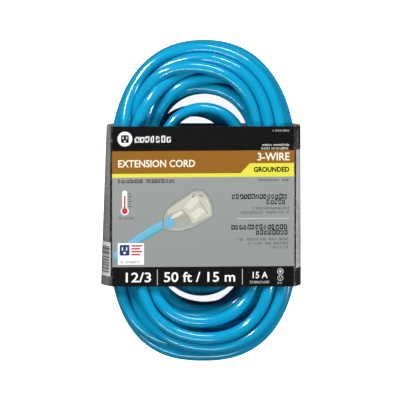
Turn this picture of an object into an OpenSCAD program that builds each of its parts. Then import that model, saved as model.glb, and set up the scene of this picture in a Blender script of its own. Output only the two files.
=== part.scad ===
// Coiled three-wire extension cord in a card sleeve.
// Millimetres. The coil lies flat: +Z is up, +Y runs along the coil, towards the
// end that the sleeve slides off. The origin is on the floor, at the middle.

/* [Cord] */
// Outside diameter of the cord's jacket
cord_d = 10; // [9.4:0.1:10]
// Outside diameter of one insulated wire inside the cord
wire_d = 3.6; // [3:0.1:3.6]

/* [Coil] */
// Outside width of the coil
coil_w = 165; // [150:1:165]
// Outside length of the coil
coil_l = 276; // [266:1:300]
// Width of the open eye in the middle of the coil
eye_w = 80; // [78:1:86]
// Length of the open eye
eye_l = 186; // [178:1:190]
// Squareness of the coil's outer outline, 2 being an ellipse
coil_square = 2.5; // [2.2:0.1:2.5]
// Squareness of the eye's outline
eye_square = 3; // [2.8:0.1:3.2]
// Squareness of the bundle's cross-section
bundle_square = 3; // [2.4:0.1:3]

/* [Sleeve] */
// Width of the sleeve's flat front and back panels
panel_w = 154; // [150:1:156]
// Width over the bulging side panels
sleeve_w = 172; // [172:1:176]
// Length of the sleeve along the coil
sleeve_l = 137; // [110:1:150]
// Height of the sleeve, from back panel to front panel
sleeve_h = 72; // [72:1:78]
// Thickness of the card
card_t = 0.6; // [0.4:0.1:0.6]
// How far the sleeve's middle lies from the coil's middle, along Y
sleeve_shift = -3.5; // [-10:0.5:0]
// Width of the glued seam inside the back panel
seam_w = 15; // [10:1:20]

/* [Ties] */
// Thickness of the twist ties
tie_t = 0.8; // [0.5:0.1:0.8]
// Width of the twist ties
tie_w = 5; // [3:0.5:8]
// Place of the twist ties along the coil
tie_y = -4; // [-10:1:4]

/* [Plug] */
// Centre distance of the two blades
blade_pitch = 12.7; // [12.7:0.1:12.7]
// Distance from the blades' plane to the ground pin
ground_pitch = 11.9; // [11.9:0.1:11.9]
// Blade thickness
blade_t = 1.5; // [1.4:0.1:1.6]
// Blade width
blade_w = 6.35; // [6.3:0.05:6.4]
// Blade length out of the plug's face
blade_l = 17.5; // [16:0.1:18]
// Ground pin diameter
pin_d = 4.76; // [4.7:0.01:4.8]
// Ground pin length out of the plug's face
pin_l = 21.4; // [20.6:0.1:21.4]
// Plug body width and height
plug_w = 29; // [28:0.5:30]
plug_h = 25; // [25:0.5:26]
// Plug body length, without its strain relief
plug_l = 36; // [36:1:38]

/* [Receptacle] */
// Receptacle shell width and height
shell_w = 33; // [33:0.5:34]
shell_h = 29; // [29:0.5:30]
// Receptacle shell length, without its strain relief
shell_l = 44; // [44:1:46]
// Length of both strain reliefs
relief_l = 24; // [24:1:26]
// Inside diameter of the ground contact
contact_bore = 4.9; // [4.86:0.02:5]

/* [Hidden] */

mid_z = sleeve_h / 2;
fit_gap = 0.3;
bundle_h = sleeve_h - 2 * (card_t + tie_t + fit_gap + 0.1);
end_tilt = 25;
skin = 0.05;

coil_stations = 60;
bundle_sides = 16;
lead_sides = 10;

// Where each end leaves its lead: the start of its strain relief.
receptacle_at = [-32.6, 29.8, 51];
plug_at = [23.7, 28.2, 21];

jacket_in = 6;
jacket_end = relief_l + jacket_in;
core_r = 2.3;
crimp_d = 5;

// Routes of the two leads, from the coil's side to the end they carry.
receptacle_route = [
    [-46.5, -10, 36], [-43.5, -21, 35.5], [-40.2, -33, 35], [-37.6, -45, 34],
    [-34.4, -57, 33], [-28.4, -67.5, 32], [-19, -75.5, 31.5], [-8, -79.4, 31], [4, -79.4, 31],
    [15.5, -75.5, 31.5], [25, -67.5, 32.5], [31, -56.5, 34], [33, -44, 36], [33.4, -29, 39],
    [33.4, -14, 42], [33.4, 1, 44.5], [34, 16, 47], [34.8, 31, 49], [35, 46, 50],
    [33, 58, 50], [27.2, 68.4, 50], [18, 76.2, 50], [6.2, 80.5, 50], [-6.2, 80.5, 50],
    [-18, 76.2, 50], [-27.4, 68.4, 50], [-33.6, 57.5, 50.3], [-36, 46, 50.8],
];
plug_route = [
    [-46.5, 16, 24], [-45.6, 30, 23.6], [-43, 44, 23], [-40.5, 56, 22.6], [-34.5, 66, 22.2],
    [-25.5, 73.3, 22], [-14, 77.5, 21.6], [-2, 77.5, 21.4], [9.5, 73.3, 21.2], [18.8, 65.5, 21],
    [24.8, 55, 21], [27, 43, 21],
];

// ---- Shared shapes ----

function squared(v, n) = sign(v) * pow(abs(v), 2 / n);
function oval(w, l, n, t) = [w / 2 * squared(cos(t), n), l / 2 * squared(sin(t), n)];
function unit(v) = v / norm(v);

// A point at a distance along an end's own axis, for the end at a place with a tilt.
function along_end(at, tilt, d) = at + d * [sin(tilt), -cos(tilt), 0];

// Moves a shape whose axis is +Z so that the axis points along the end.
module at_end(at, tilt) {
    translate(at) rotate([0, 0, tilt]) rotate([90, 0, 0]) children();
}

module at_plug() { at_end(plug_at, -end_tilt) children(); }
module at_receptacle() { at_end(receptacle_at, end_tilt) children(); }

// A round tube swept along points, with flat ends.
module swept_tube(points, d, sides) {
    n = len(points);
    function heading(i) = unit(points[min(i + 1, n - 1)] - points[max(i - 1, 0)]);
    function side(i) = unit(cross(heading(i), [0, 0, 1]));
    function lift(i) = cross(side(i), heading(i));
    rings = [
        for (i = [0 : n - 1], j = [0 : sides - 1])
            points[i] + d / 2 * (cos(360 * j / sides) * side(i) + sin(360 * j / sides) * lift(i))
    ];
    walls = [
        for (i = [0 : n - 2], j = [0 : sides - 1])
            let (k = (j + 1) % sides)
                [i * sides + j, (i + 1) * sides + j, (i + 1) * sides + k, i * sides + k]
    ];
    first = [for (j = [0 : sides - 1]) j];
    last = [for (j = [sides - 1 : -1 : 0]) (n - 1) * sides + j];
    polyhedron(rings, concat(walls, [first, last]));
}

// A plate with round corners, standing on z = 0.
module rounded_plate(w, h, r, t) {
    linear_extrude(t) {
        square([w - 2 * r, h], center = true);
        square([w, h - 2 * r], center = true);
        for (x = [-1, 1], y = [-1, 1]) {
            translate([x * (w / 2 - r), y * (h / 2 - r)]) circle(r, $fn = 32);
        }
    }
}

// A straight round rod between two points.
module rod(a, b, r) {
    v = b - a;
    translate(a)
        rotate([0, acos(v[2] / norm(v)), atan2(v[1], v[0])])
            cylinder(h = norm(v), r = r, $fn = 32);
}

// A wire bent at its middle points, with round elbows a little fuller than the wire.
module bent_wire(points, r) {
    elbow = 1.08;
    for (i = [0 : len(points) - 2]) rod(points[i], points[i + 1], r);
    for (i = [1 : 1 : len(points) - 2]) translate(points[i]) sphere(elbow * r, $fn = 32);
}

// ---- Cord ----

module cord_coil() {
    function vertex(i, j) =
        let (
            t = 360 * i / coil_stations,
            s = 360 * j / bundle_sides,
            outer = oval(coil_w, coil_l, coil_square, t),
            inner = oval(eye_w, eye_l, eye_square, t),
            across = squared(cos(s), bundle_square),
            xy = (outer + inner) / 2 + (outer - inner) / 2 * across
        )
        [xy[0], xy[1], mid_z + bundle_h / 2 * squared(sin(s), bundle_square)];
    points = [
        for (i = [0 : coil_stations - 1], j = [0 : bundle_sides - 1]) vertex(i, j)
    ];
    faces = [
        for (i = [0 : coil_stations - 1], j = [0 : bundle_sides - 1])
            let (ni = (i + 1) % coil_stations, nj = (j + 1) % bundle_sides, m = bundle_sides)
                [i * m + j, i * m + nj, ni * m + nj, ni * m + j]
    ];
    color("deepskyblue") polyhedron(points, faces, convexity = 6);
}

module receptacle_lead() {
    straight = [for (d = [0, relief_l / 2, jacket_end]) along_end(receptacle_at, end_tilt, d)];
    color("deepskyblue") swept_tube(concat(receptacle_route, straight), cord_d, lead_sides);
}

module plug_lead() {
    straight = [for (d = [0, relief_l / 2, jacket_end]) along_end(plug_at, -end_tilt, d)];
    color("deepskyblue") swept_tube(concat(plug_route, straight), cord_d, lead_sides);
}

// ---- Sleeve and ties ----

// Outline of the sleeve across the coil, shrunk by an inset: flat top and bottom,
// side panels that bulge as one arc each.
module sleeve_outline(inset) {
    bulge = (sleeve_w - panel_w) / 2;
    half_h = sleeve_h / 2;
    arc_r = (half_h * half_h + bulge * bulge) / (2 * bulge);
    reach = asin(half_h / arc_r);
    steps = 12;
    side = [
        for (k = [-steps : steps])
            let (a = reach * k / steps)
                [sleeve_w / 2 - arc_r + (arc_r - inset) * cos(a), (half_h - inset) * sin(a) / sin(reach)]
    ];
    polygon(concat(side, [for (k = [2 * steps : -1 : 0]) [-side[k][0], side[k][1]]]));
}

module card_sleeve() {
    color("dimgray") translate([0, sleeve_shift + sleeve_l / 2, mid_z]) rotate([90, 0, 0]) {
        linear_extrude(sleeve_l) difference() {
            sleeve_outline(0);
            sleeve_outline(card_t);
        }
        translate([-seam_w / 2, card_t - mid_z, 0]) cube([seam_w, card_t, sleeve_l]);
    }
}

// A twist tie round one side of the coil, with its twisted tail inside the eye.
module tie(side) {
    bundle_w = (coil_w - eye_w) / 2;
    centre_x = side * (coil_w + eye_w) / 4;
    tail_z = 13;
    tail_r = 1.4;
    tail_l = 14;
    module loop(grow) {
        polygon([
            for (s = [0 : 7.5 : 352.5])
                [
                    (bundle_w / 2 + grow) * squared(cos(s), bundle_square),
                    (bundle_h / 2 + grow) * squared(sin(s), bundle_square),
                ]
        ]);
    }
    tail_x = side * (eye_w / 2 + 0.4);
    color("black") {
        translate([centre_x, tie_y + tie_w / 2, mid_z]) rotate([90, 0, 0])
            linear_extrude(tie_w) difference() {
                loop(0.1 + tie_t);
                loop(0.1);
            }
        translate([tail_x, tie_y, tail_z]) rotate([-90, 0, 0])
            cylinder(h = tail_l, r = tail_r, $fn = 24);
    }
}

module left_tie() { tie(-1); }
module right_tie() { tie(1); }

// ---- Ends: shapes that both share, along +Z from the strain relief's start ----

// Centres of the line, neutral and ground pieces across an end; flip is 1 where
// the ground is below the blades and -1 where it is above.
function terminal(k, flip) =
    k == 2 ? [0, -flip * (ground_pitch - 4)] : [(k == 0 ? 1 : -1) * blade_pitch / 2, flip * 4];

// Centre of one insulated wire where it leaves the jacket.
function core_at(k, flip) = core_r * [
    [cos(30), flip * sin(30)], [-cos(30), flip * sin(30)], [0, -flip],
][k];

// A tapered, ribbed strain relief round the jacket.
module relief(rear_r, front_r) {
    ribs = 6;
    rib_l = relief_l / ribs;
    groove = 1.1;
    function taper(z) = rear_r + (front_r - rear_r) * z / relief_l;
    profile = [
        for (k = [0 : ribs - 1])
            each [
                [taper(k * rib_l), k * rib_l],
                [taper((k + 0.62) * rib_l), (k + 0.62) * rib_l],
                [taper((k + 0.62) * rib_l) - groove, (k + 0.7) * rib_l],
                [taper((k + 1) * rib_l) - groove, (k + 0.94) * rib_l],
            ],
        [front_r, relief_l],
    ];
    bore = cord_d / 2 + skin;
    rotate_extrude($fn = 64) polygon(concat([[bore, 0]], profile, [[bore, relief_l]]));
}

// One wire from the jacket's end to the back of its terminal.
module fan_wire(k, flip, to_z, grow = 0) {
    from = core_at(k, flip);
    to = terminal(k, flip);
    straight = 2.2;
    bent_wire([
        [from[0], from[1], jacket_end - grow],
        [from[0], from[1], jacket_end + straight],
        [to[0], to[1], to_z - straight],
        [to[0], to[1], to_z + grow],
    ], wire_d / 2 + grow);
}

// ---- Plug ----

plug_face = relief_l + plug_l;
plug_core_l = 13;
plug_core_z = plug_face - plug_core_l;
crimp_l = 5;
plug_crimp_z = plug_core_z - crimp_l;

module plug_core_block(grow) {
    translate([0, 0, plug_core_z - grow]) rounded_plate(22 + 2 * grow, 20 + 2 * grow, 4, plug_core_l + 2 * grow);
}

module crimp(k, flip, z, grow = 0) {
    at = terminal(k, flip);
    translate([at[0], at[1], z - grow]) cylinder(h = crimp_l + 2 * grow, d = crimp_d + 2 * grow, $fn = 32);
}

module plug_body() {
    rear = [20, 18];
    color("deepskyblue") at_plug() difference() {
        union() {
            hull() {
                translate([0, 0, relief_l]) rounded_plate(rear[0], rear[1], 8, 0.5);
                translate([0, 0, relief_l + 14]) rounded_plate(plug_w - 2, plug_h - 1, 8, 1);
            }
            translate([0, 0, relief_l + 14]) rounded_plate(plug_w - 2, plug_h - 1, 8, plug_l - 22);
            translate([0, 0, plug_face - 8]) rounded_plate(plug_w, plug_h, 8, 8);
        }
        translate([0, 0, relief_l - 1]) cylinder(h = jacket_in + 1 + skin, d = cord_d + 2 * skin, $fn = 48);
        plug_core_block(skin);
        for (k = [0 : 2]) {
            crimp(k, 1, plug_crimp_z, skin);
            fan_wire(k, 1, plug_crimp_z, skin);
        }
    }
}

module plug_strain_relief() { color("deepskyblue") at_plug() relief(6.6, 8.6); }

module blade_solid(k, grow = 0) {
    at = terminal(k, 1);
    w = blade_w + 2 * grow;
    t = blade_t + 2 * grow;
    tip = 1.5;
    translate([at[0], at[1], plug_core_z - grow])
        rotate([90, 0, 90])
            translate([0, 0, -t / 2])
                linear_extrude(t) polygon([
                    [-w / 2, 0], [w / 2, 0],
                    [w / 2, plug_core_l + blade_l - tip], [w / 2 - tip, plug_core_l + blade_l],
                    [-w / 2 + tip, plug_core_l + blade_l], [-w / 2, plug_core_l + blade_l - tip],
                ]);
}

module blade(k) {
    at = terminal(k, 1);
    hole_from_face = 11.9;
    hole_d = 3.1;
    color("silver") at_plug() difference() {
        blade_solid(k);
        translate([at[0] - blade_t, at[1], plug_face + hole_from_face])
            rotate([0, 90, 0]) cylinder(h = 2 * blade_t, d = hole_d, $fn = 32);
    }
}

module line_blade() { blade(0); }
module neutral_blade() { blade(1); }

module ground_pin() {
    at = terminal(2, 1);
    nose = 1.4;
    color("silver") at_plug() translate([at[0], at[1], 0]) {
        translate([0, 0, plug_core_z]) cylinder(h = plug_core_l, d = pin_d - 0.8, $fn = 32);
        translate([0, 0, plug_face]) cylinder(h = pin_l - nose, d = pin_d, $fn = 48);
        translate([0, 0, plug_face + pin_l - nose])
            cylinder(h = nose, d1 = pin_d, d2 = pin_d - 1.8, $fn = 48);
    }
}

module plug_core() {
    at = terminal(2, 1);
    color("white") at_plug() difference() {
        plug_core_block(0);
        for (k = [0, 1]) blade_solid(k, skin);
        translate([at[0], at[1], plug_core_z - 1])
            cylinder(h = plug_core_l + 2, d = pin_d - 0.8 + 2 * skin, $fn = 32);
    }
}

module plug_crimps() {
    color("gold") at_plug() for (k = [0 : 2]) crimp(k, 1, plug_crimp_z);
}

module plug_wire(k) { at_plug() fan_wire(k, 1, plug_crimp_z); }
module plug_line_wire() { color("black") plug_wire(0); }
module plug_neutral_wire() { color("white") plug_wire(1); }
module plug_ground_wire() { color("green") plug_wire(2); }

// ---- Receptacle ----

shell_face = relief_l + shell_l;
cap_t = 3.5;
cap_z = shell_face - cap_t;
carrier_l = 23;
carrier_z = cap_z - carrier_l;
contact_l = 18;
contact_z = cap_z - contact_l;
tail_l = contact_z - carrier_z;
pocket = [5, 9.6];
ground_out = 6.6;
carrier_w = 25;
carrier_h = 24;

module carrier_block(grow) {
    translate([0, 0, carrier_z - grow]) rounded_plate(carrier_w + 2 * grow, carrier_h + 2 * grow, 5, carrier_l + grow);
}

module cap_block(grow) {
    translate([0, 0, cap_z]) rounded_plate(carrier_w + 2 * grow, carrier_h + 2 * grow, 5, cap_t + grow);
}

module receptacle_shell() {
    color("ghostwhite", 0.4) at_receptacle() difference() {
        union() {
            hull() {
                translate([0, 0, relief_l]) rounded_plate(20, 18, 8, 0.5);
                translate([0, 0, relief_l + 13]) rounded_plate(shell_w - 2, shell_h - 2, 9, 1);
            }
            translate([0, 0, relief_l + 13]) rounded_plate(shell_w - 2, shell_h - 2, 9, shell_l - 22);
            translate([0, 0, shell_face - 9]) rounded_plate(shell_w, shell_h, 9, 9);
        }
        translate([0, 0, relief_l - 1]) cylinder(h = jacket_in + 1 + skin, d = cord_d + 2 * skin, $fn = 48);
        carrier_block(skin);
        cap_block(skin);
        for (k = [0 : 2]) fan_wire(k, -1, carrier_z, skin);
        lamp_solid(skin);
        resistor_solid(skin);
        lamp_lead_rods(0.35 + skin);
    }
}

module receptacle_strain_relief() { color("ghostwhite", 0.5) at_receptacle() relief(6.6, 8.6); }

module contact_carrier() {
    color("white") at_receptacle() difference() {
        carrier_block(0);
        for (k = [0, 1]) {
            at = terminal(k, -1);
            translate([at[0] - pocket[0] / 2, at[1] - pocket[1] / 2, contact_z - skin])
                cube([pocket[0], pocket[1], contact_l + 1]);
        }
        ground = terminal(2, -1);
        translate([ground[0], ground[1], contact_z - skin])
            cylinder(h = contact_l + 1, d = ground_out + 2 * skin, $fn = 48);
        for (k = [0 : 2]) {
            at = terminal(k, -1);
            translate([at[0], at[1], carrier_z - 1])
                cylinder(h = tail_l + 1, d = 3 + 2 * skin, $fn = 32);
        }
    }
}

module carrier_cap() {
    ground = terminal(2, -1);
    slots = [[2.2, 7.2], [2.2, 8.6]];
    color("white") at_receptacle() difference() {
        cap_block(0);
        for (k = [0, 1]) {
            at = terminal(k, -1);
            translate([at[0] - slots[k][0] / 2, at[1] - slots[k][1] / 2, cap_z - 1])
                cube([slots[k][0], slots[k][1], cap_t + 2]);
        }
        translate([ground[0], ground[1], cap_z - 1]) cylinder(h = cap_t + 2, r = 2.75, $fn = 48);
    }
}

// A blade contact: two spring leaves on a base, with a round tail.
module blade_contact(k) {
    at = terminal(k, -1);
    leaf_t = 0.7;
    gap = blade_t - 0.1;
    base_t = 1.2;
    leaf_w = 8;
    color("gold") at_receptacle() translate([at[0], at[1], 0]) {
        translate([0, 0, carrier_z]) cylinder(h = tail_l, d = 3, $fn = 32);
        translate([-gap / 2 - leaf_t, -leaf_w / 2, contact_z]) cube([gap + 2 * leaf_t, leaf_w, base_t]);
        for (s = [-1, 1]) {
            translate([s * (gap + leaf_t) / 2 - leaf_t / 2, -leaf_w / 2, contact_z + base_t])
                cube([leaf_t, leaf_w, contact_l - base_t - 1]);
        }
    }
}

module line_contact() { blade_contact(0); }
module neutral_contact() { blade_contact(1); }

module ground_contact() {
    at = terminal(2, -1);
    base_t = 1.5;
    color("gold") at_receptacle() translate([at[0], at[1], 0]) {
        translate([0, 0, carrier_z]) cylinder(h = tail_l, d = 3, $fn = 32);
        translate([0, 0, contact_z]) difference() {
            cylinder(h = contact_l, d = ground_out, $fn = 48);
            translate([0, 0, base_t]) cylinder(h = contact_l, d = contact_bore, $fn = 48);
        }
    }
}

module receptacle_wire(k) { at_receptacle() fan_wire(k, -1, carrier_z); }
module receptacle_line_wire() { color("black") receptacle_wire(0); }
module receptacle_neutral_wire() { color("white") receptacle_wire(1); }
module receptacle_ground_wire() { color("green") receptacle_wire(2); }

// The lamp and its resistor lie in the shell behind the carrier, below the wires.
lamp_at = [3.4, -9.4, carrier_z - 1 - 7];
resistor_at = [-3.4, -9.4, carrier_z - 1 - 6.5];
lamp_l = 7;
resistor_l = 6.5;

module lamp_solid(grow) {
    translate(lamp_at - [0, 0, grow]) cylinder(h = lamp_l + 2 * grow, d = 3.4 + 2 * grow, $fn = 32);
}

module resistor_solid(grow) {
    translate(resistor_at - [0, 0, grow]) cylinder(h = resistor_l + 2 * grow, d = 2.4 + 2 * grow, $fn = 32);
}

// Leads: lamp to resistor behind, and one from each towards the carrier.
module lamp_lead_rods(r) {
    back_z = resistor_at[2] - 1;
    bent_wire([
        [lamp_at[0], lamp_at[1], lamp_at[2]], [lamp_at[0], lamp_at[1], back_z],
        [resistor_at[0], resistor_at[1], back_z], [resistor_at[0], resistor_at[1], resistor_at[2]],
    ], r);
    rod([lamp_at[0], lamp_at[1], lamp_at[2] + lamp_l], [lamp_at[0], lamp_at[1], carrier_z - skin], r);
    rod([resistor_at[0], resistor_at[1], resistor_at[2] + resistor_l],
        [resistor_at[0], resistor_at[1], carrier_z - skin], r);
}

module indicator_lamp() { color("orange") at_receptacle() lamp_solid(0); }
module lamp_resistor() { color("tan") at_receptacle() resistor_solid(0); }
module lamp_leads() { color("silver") at_receptacle() lamp_lead_rods(0.35); }

// ---- Nodes ----

cord_coil();
receptacle_lead();
plug_lead();
card_sleeve();
left_tie();
right_tie();
plug_body();
plug_strain_relief();
plug_core();
line_blade();
neutral_blade();
ground_pin();
plug_crimps();
plug_line_wire();
plug_neutral_wire();
plug_ground_wire();
receptacle_shell();
receptacle_strain_relief();
contact_carrier();
carrier_cap();
line_contact();
neutral_contact();
ground_contact();
receptacle_line_wire();
receptacle_neutral_wire();
receptacle_ground_wire();
indicator_lamp();
lamp_resistor();
lamp_leads();
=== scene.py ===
"""Looks of a coiled three-wire extension cord in a printed card sleeve.

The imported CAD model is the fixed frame. The coil's turns of cord, the sleeve and the
moulded shells are made here as finished meshes, and every CAD node that shows keeps its
shape and gets a better material. Lengths are metres, and MM turns millimetres into them.
"""

import logging
import math
from dataclasses import dataclass, field
from enum import Enum
from functools import partial
from typing import Callable, Iterable, Sequence

import bmesh
import bpy
import numpy as np
from mathutils import Matrix, Vector


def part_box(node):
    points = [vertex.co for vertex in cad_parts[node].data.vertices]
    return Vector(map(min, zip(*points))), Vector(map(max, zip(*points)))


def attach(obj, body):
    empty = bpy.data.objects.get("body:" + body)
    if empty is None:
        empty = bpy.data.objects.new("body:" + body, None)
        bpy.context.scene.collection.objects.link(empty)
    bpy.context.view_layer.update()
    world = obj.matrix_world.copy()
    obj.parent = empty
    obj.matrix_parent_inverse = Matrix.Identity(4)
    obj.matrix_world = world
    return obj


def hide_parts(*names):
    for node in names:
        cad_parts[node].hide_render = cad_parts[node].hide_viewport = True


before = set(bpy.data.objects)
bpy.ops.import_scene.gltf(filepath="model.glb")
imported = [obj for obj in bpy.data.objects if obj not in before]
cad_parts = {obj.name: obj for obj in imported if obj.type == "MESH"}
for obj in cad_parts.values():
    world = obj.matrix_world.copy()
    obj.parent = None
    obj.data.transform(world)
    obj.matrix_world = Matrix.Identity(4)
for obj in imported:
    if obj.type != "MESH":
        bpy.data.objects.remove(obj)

MM = 0.001
Area = tuple[float, float, float, float]
LOG = logging.getLogger("extension_cord")
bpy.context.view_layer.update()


# ---- Shared helpers ----


class Body(Enum):
    """The CAD bodies that a piece can ride on."""

    CORD = "cord"
    SLEEVE = "sleeve"


def srgb(hex_code: str) -> tuple[float, float, float, float]:
    """Turn an sRGB hex colour into linear RGBA.

    Args:
        hex_code: Six hex digits, such as "1a9bc8".

    Returns:
        Linear red, green and blue, and an alpha of 1.
    """
    parts = [int(hex_code[i : i + 2], 16) / 255 for i in (0, 2, 4)]
    linear = [c / 12.92 if c <= 0.04045 else ((c + 0.055) / 1.055) ** 2.4 for c in parts]
    return (*linear, 1.0)


def add_node(tree: bpy.types.NodeTree, kind: str, settings: dict | None = None, values: dict | None = None,
             links: dict | None = None) -> bpy.types.Node:
    """Add a node with its settings and links.

    Args:
        tree: Node tree to add to.
        kind: Node type, such as "ShaderNodeMath".
        settings: Attributes of the node.
        values: Constants of its input sockets, by name or number.
        links: What feeds its input sockets, by name or number. A node stands for the first
            of its outputs that is in use.

    Returns:
        The new node.
    """
    node = tree.nodes.new(kind)
    for name, value in (settings or {}).items():
        setattr(node, name, value)
    for socket, value in (values or {}).items():
        node.inputs[socket].default_value = value
    for socket, source in (links or {}).items():
        feed(tree, node, socket, source)
    return node


def feed(tree: bpy.types.NodeTree, node: bpy.types.Node, socket: str | int,
         source: bpy.types.Node | bpy.types.NodeSocket) -> None:
    """Link an input socket of a node.

    Args:
        tree: Node tree of both ends.
        node: Node that is fed.
        socket: Name or number of its input.
        source: Output socket, or a node that stands for its first output in use.
    """
    if isinstance(source, bpy.types.Node):
        source = next(output for output in source.outputs if not output.is_unavailable)
    tree.links.new(source, node.inputs[socket])


def add_object(name: str, data: bpy.types.ID) -> bpy.types.Object:
    """Make an object of some data, at the origin.

    Args:
        name: Object name.
        data: Its mesh, curve, light or camera.

    Returns:
        The new object, linked to the scene.
    """
    obj = bpy.data.objects.new(name, data)
    bpy.context.scene.collection.objects.link(obj)
    return obj


def plain_mesh(holder: bpy.types.Object) -> bpy.types.Mesh:
    """A mesh of what an object looks like with its modifiers."""
    bpy.context.view_layer.update()
    return bpy.data.meshes.new_from_object(holder.evaluated_get(bpy.context.evaluated_depsgraph_get()))


def weld(obj: bpy.types.Object, reach: float, is_smooth: Callable | None = None) -> None:
    """Merge coinciding points, and make the faces point outwards.

    Args:
        obj: Mesh object to work on.
        reach: Points closer than this are merged.
        is_smooth: Tells of an edge whether it is shaded smooth.
    """
    work = bmesh.new()
    work.from_mesh(obj.data)
    bmesh.ops.remove_doubles(work, verts=work.verts, dist=reach)
    bmesh.ops.recalc_face_normals(work, faces=work.faces)
    if is_smooth:
        for edge in work.edges:
            edge.smooth = is_smooth(edge)
    work.to_mesh(obj.data)
    work.free()


def mesh_object(name: str, verts: Iterable, faces: Iterable, smooth: bool = True) -> bpy.types.Object:
    """Make a mesh object at the origin.

    Args:
        name: Object name.
        verts: Corner points in metres, in the row frame.
        faces: Tuples of corner numbers, wound so that the faces point outwards.
        smooth: Whether the faces are shaded smooth.

    Returns:
        The new object, linked to the scene.
    """
    mesh = bpy.data.meshes.new(name)
    mesh.from_pydata([tuple(v) for v in verts], [], [tuple(f) for f in faces])
    mesh.update()
    if smooth:
        mesh.polygons.foreach_set("use_smooth", [True] * len(mesh.polygons))
    return add_object(name, mesh)


def settle_piece(obj: bpy.types.Object, body: Body, replaces: Sequence[str] = ()) -> None:
    """Ride a finished piece on its body and report it.

    Args:
        obj: The finished piece.
        body: Body that it moves with.
        replaces: CAD nodes that it stands for.
    """
    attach(obj, body.value)
    if replaces:
        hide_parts(*replaces)
    LOG.info("%s: %d faces, on %s", obj.name, len(obj.data.polygons), body.value)


# ---- Route of the cord ----


@dataclass(frozen=True)
class Outline:
    """A closed outline round the coil's middle, squarer at one end than at the other."""

    half_w: float
    half_l: float
    top_power: float
    bottom_power: float

    def value(self, xy: np.ndarray) -> np.ndarray:
        """How far out points lie.

        Args:
            xy: Rows of x and y.

        Returns:
            Below 1 inside the outline, and above 1 outside it.
        """
        power = np.where(xy[..., 1] >= 0, self.top_power, self.bottom_power)
        return np.abs(xy[..., 0] / self.half_w) ** power + np.abs(xy[..., 1] / self.half_l) ** power

    def reach(self, start: np.ndarray, way: np.ndarray, furthest: float) -> np.ndarray:
        """Distance from points to the outline along some directions, by halving.

        Args:
            start: Rows of x and y.
            way: Unit directions.
            furthest: A distance that is too far for all of them.

        Returns:
            A distance for each row.
        """
        near, far = np.zeros(len(start)), np.full(len(start), furthest)
        inside = self.value(start) < 1
        for _ in range(40):
            half = (near + far) / 2
            passed = (self.value(start + half[:, None] * way) < 1) != inside
            near, far = np.where(passed, near, half), np.where(passed, half, far)
        return (near + far) / 2


@dataclass(frozen=True)
class RoundEnded(Outline):
    """An outline with straight sides and half circles for ends, a little shorter at the bottom."""

    top_power: float = 1
    bottom_power: float = 1
    bottom_cut: float = 0.002

    def value(self, xy: np.ndarray) -> np.ndarray:
        """How far out points lie.

        Args:
            xy: Rows of x and y.

        Returns:
            Below 1 inside the outline, and above 1 outside it.
        """
        half_l = self.half_l - np.where(xy[..., 1] < 0, self.bottom_cut, 0)
        beyond = np.clip(np.abs(xy[..., 1]) - (half_l - self.half_w), 0, None)
        return np.hypot(xy[..., 0], beyond) / self.half_w


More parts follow.
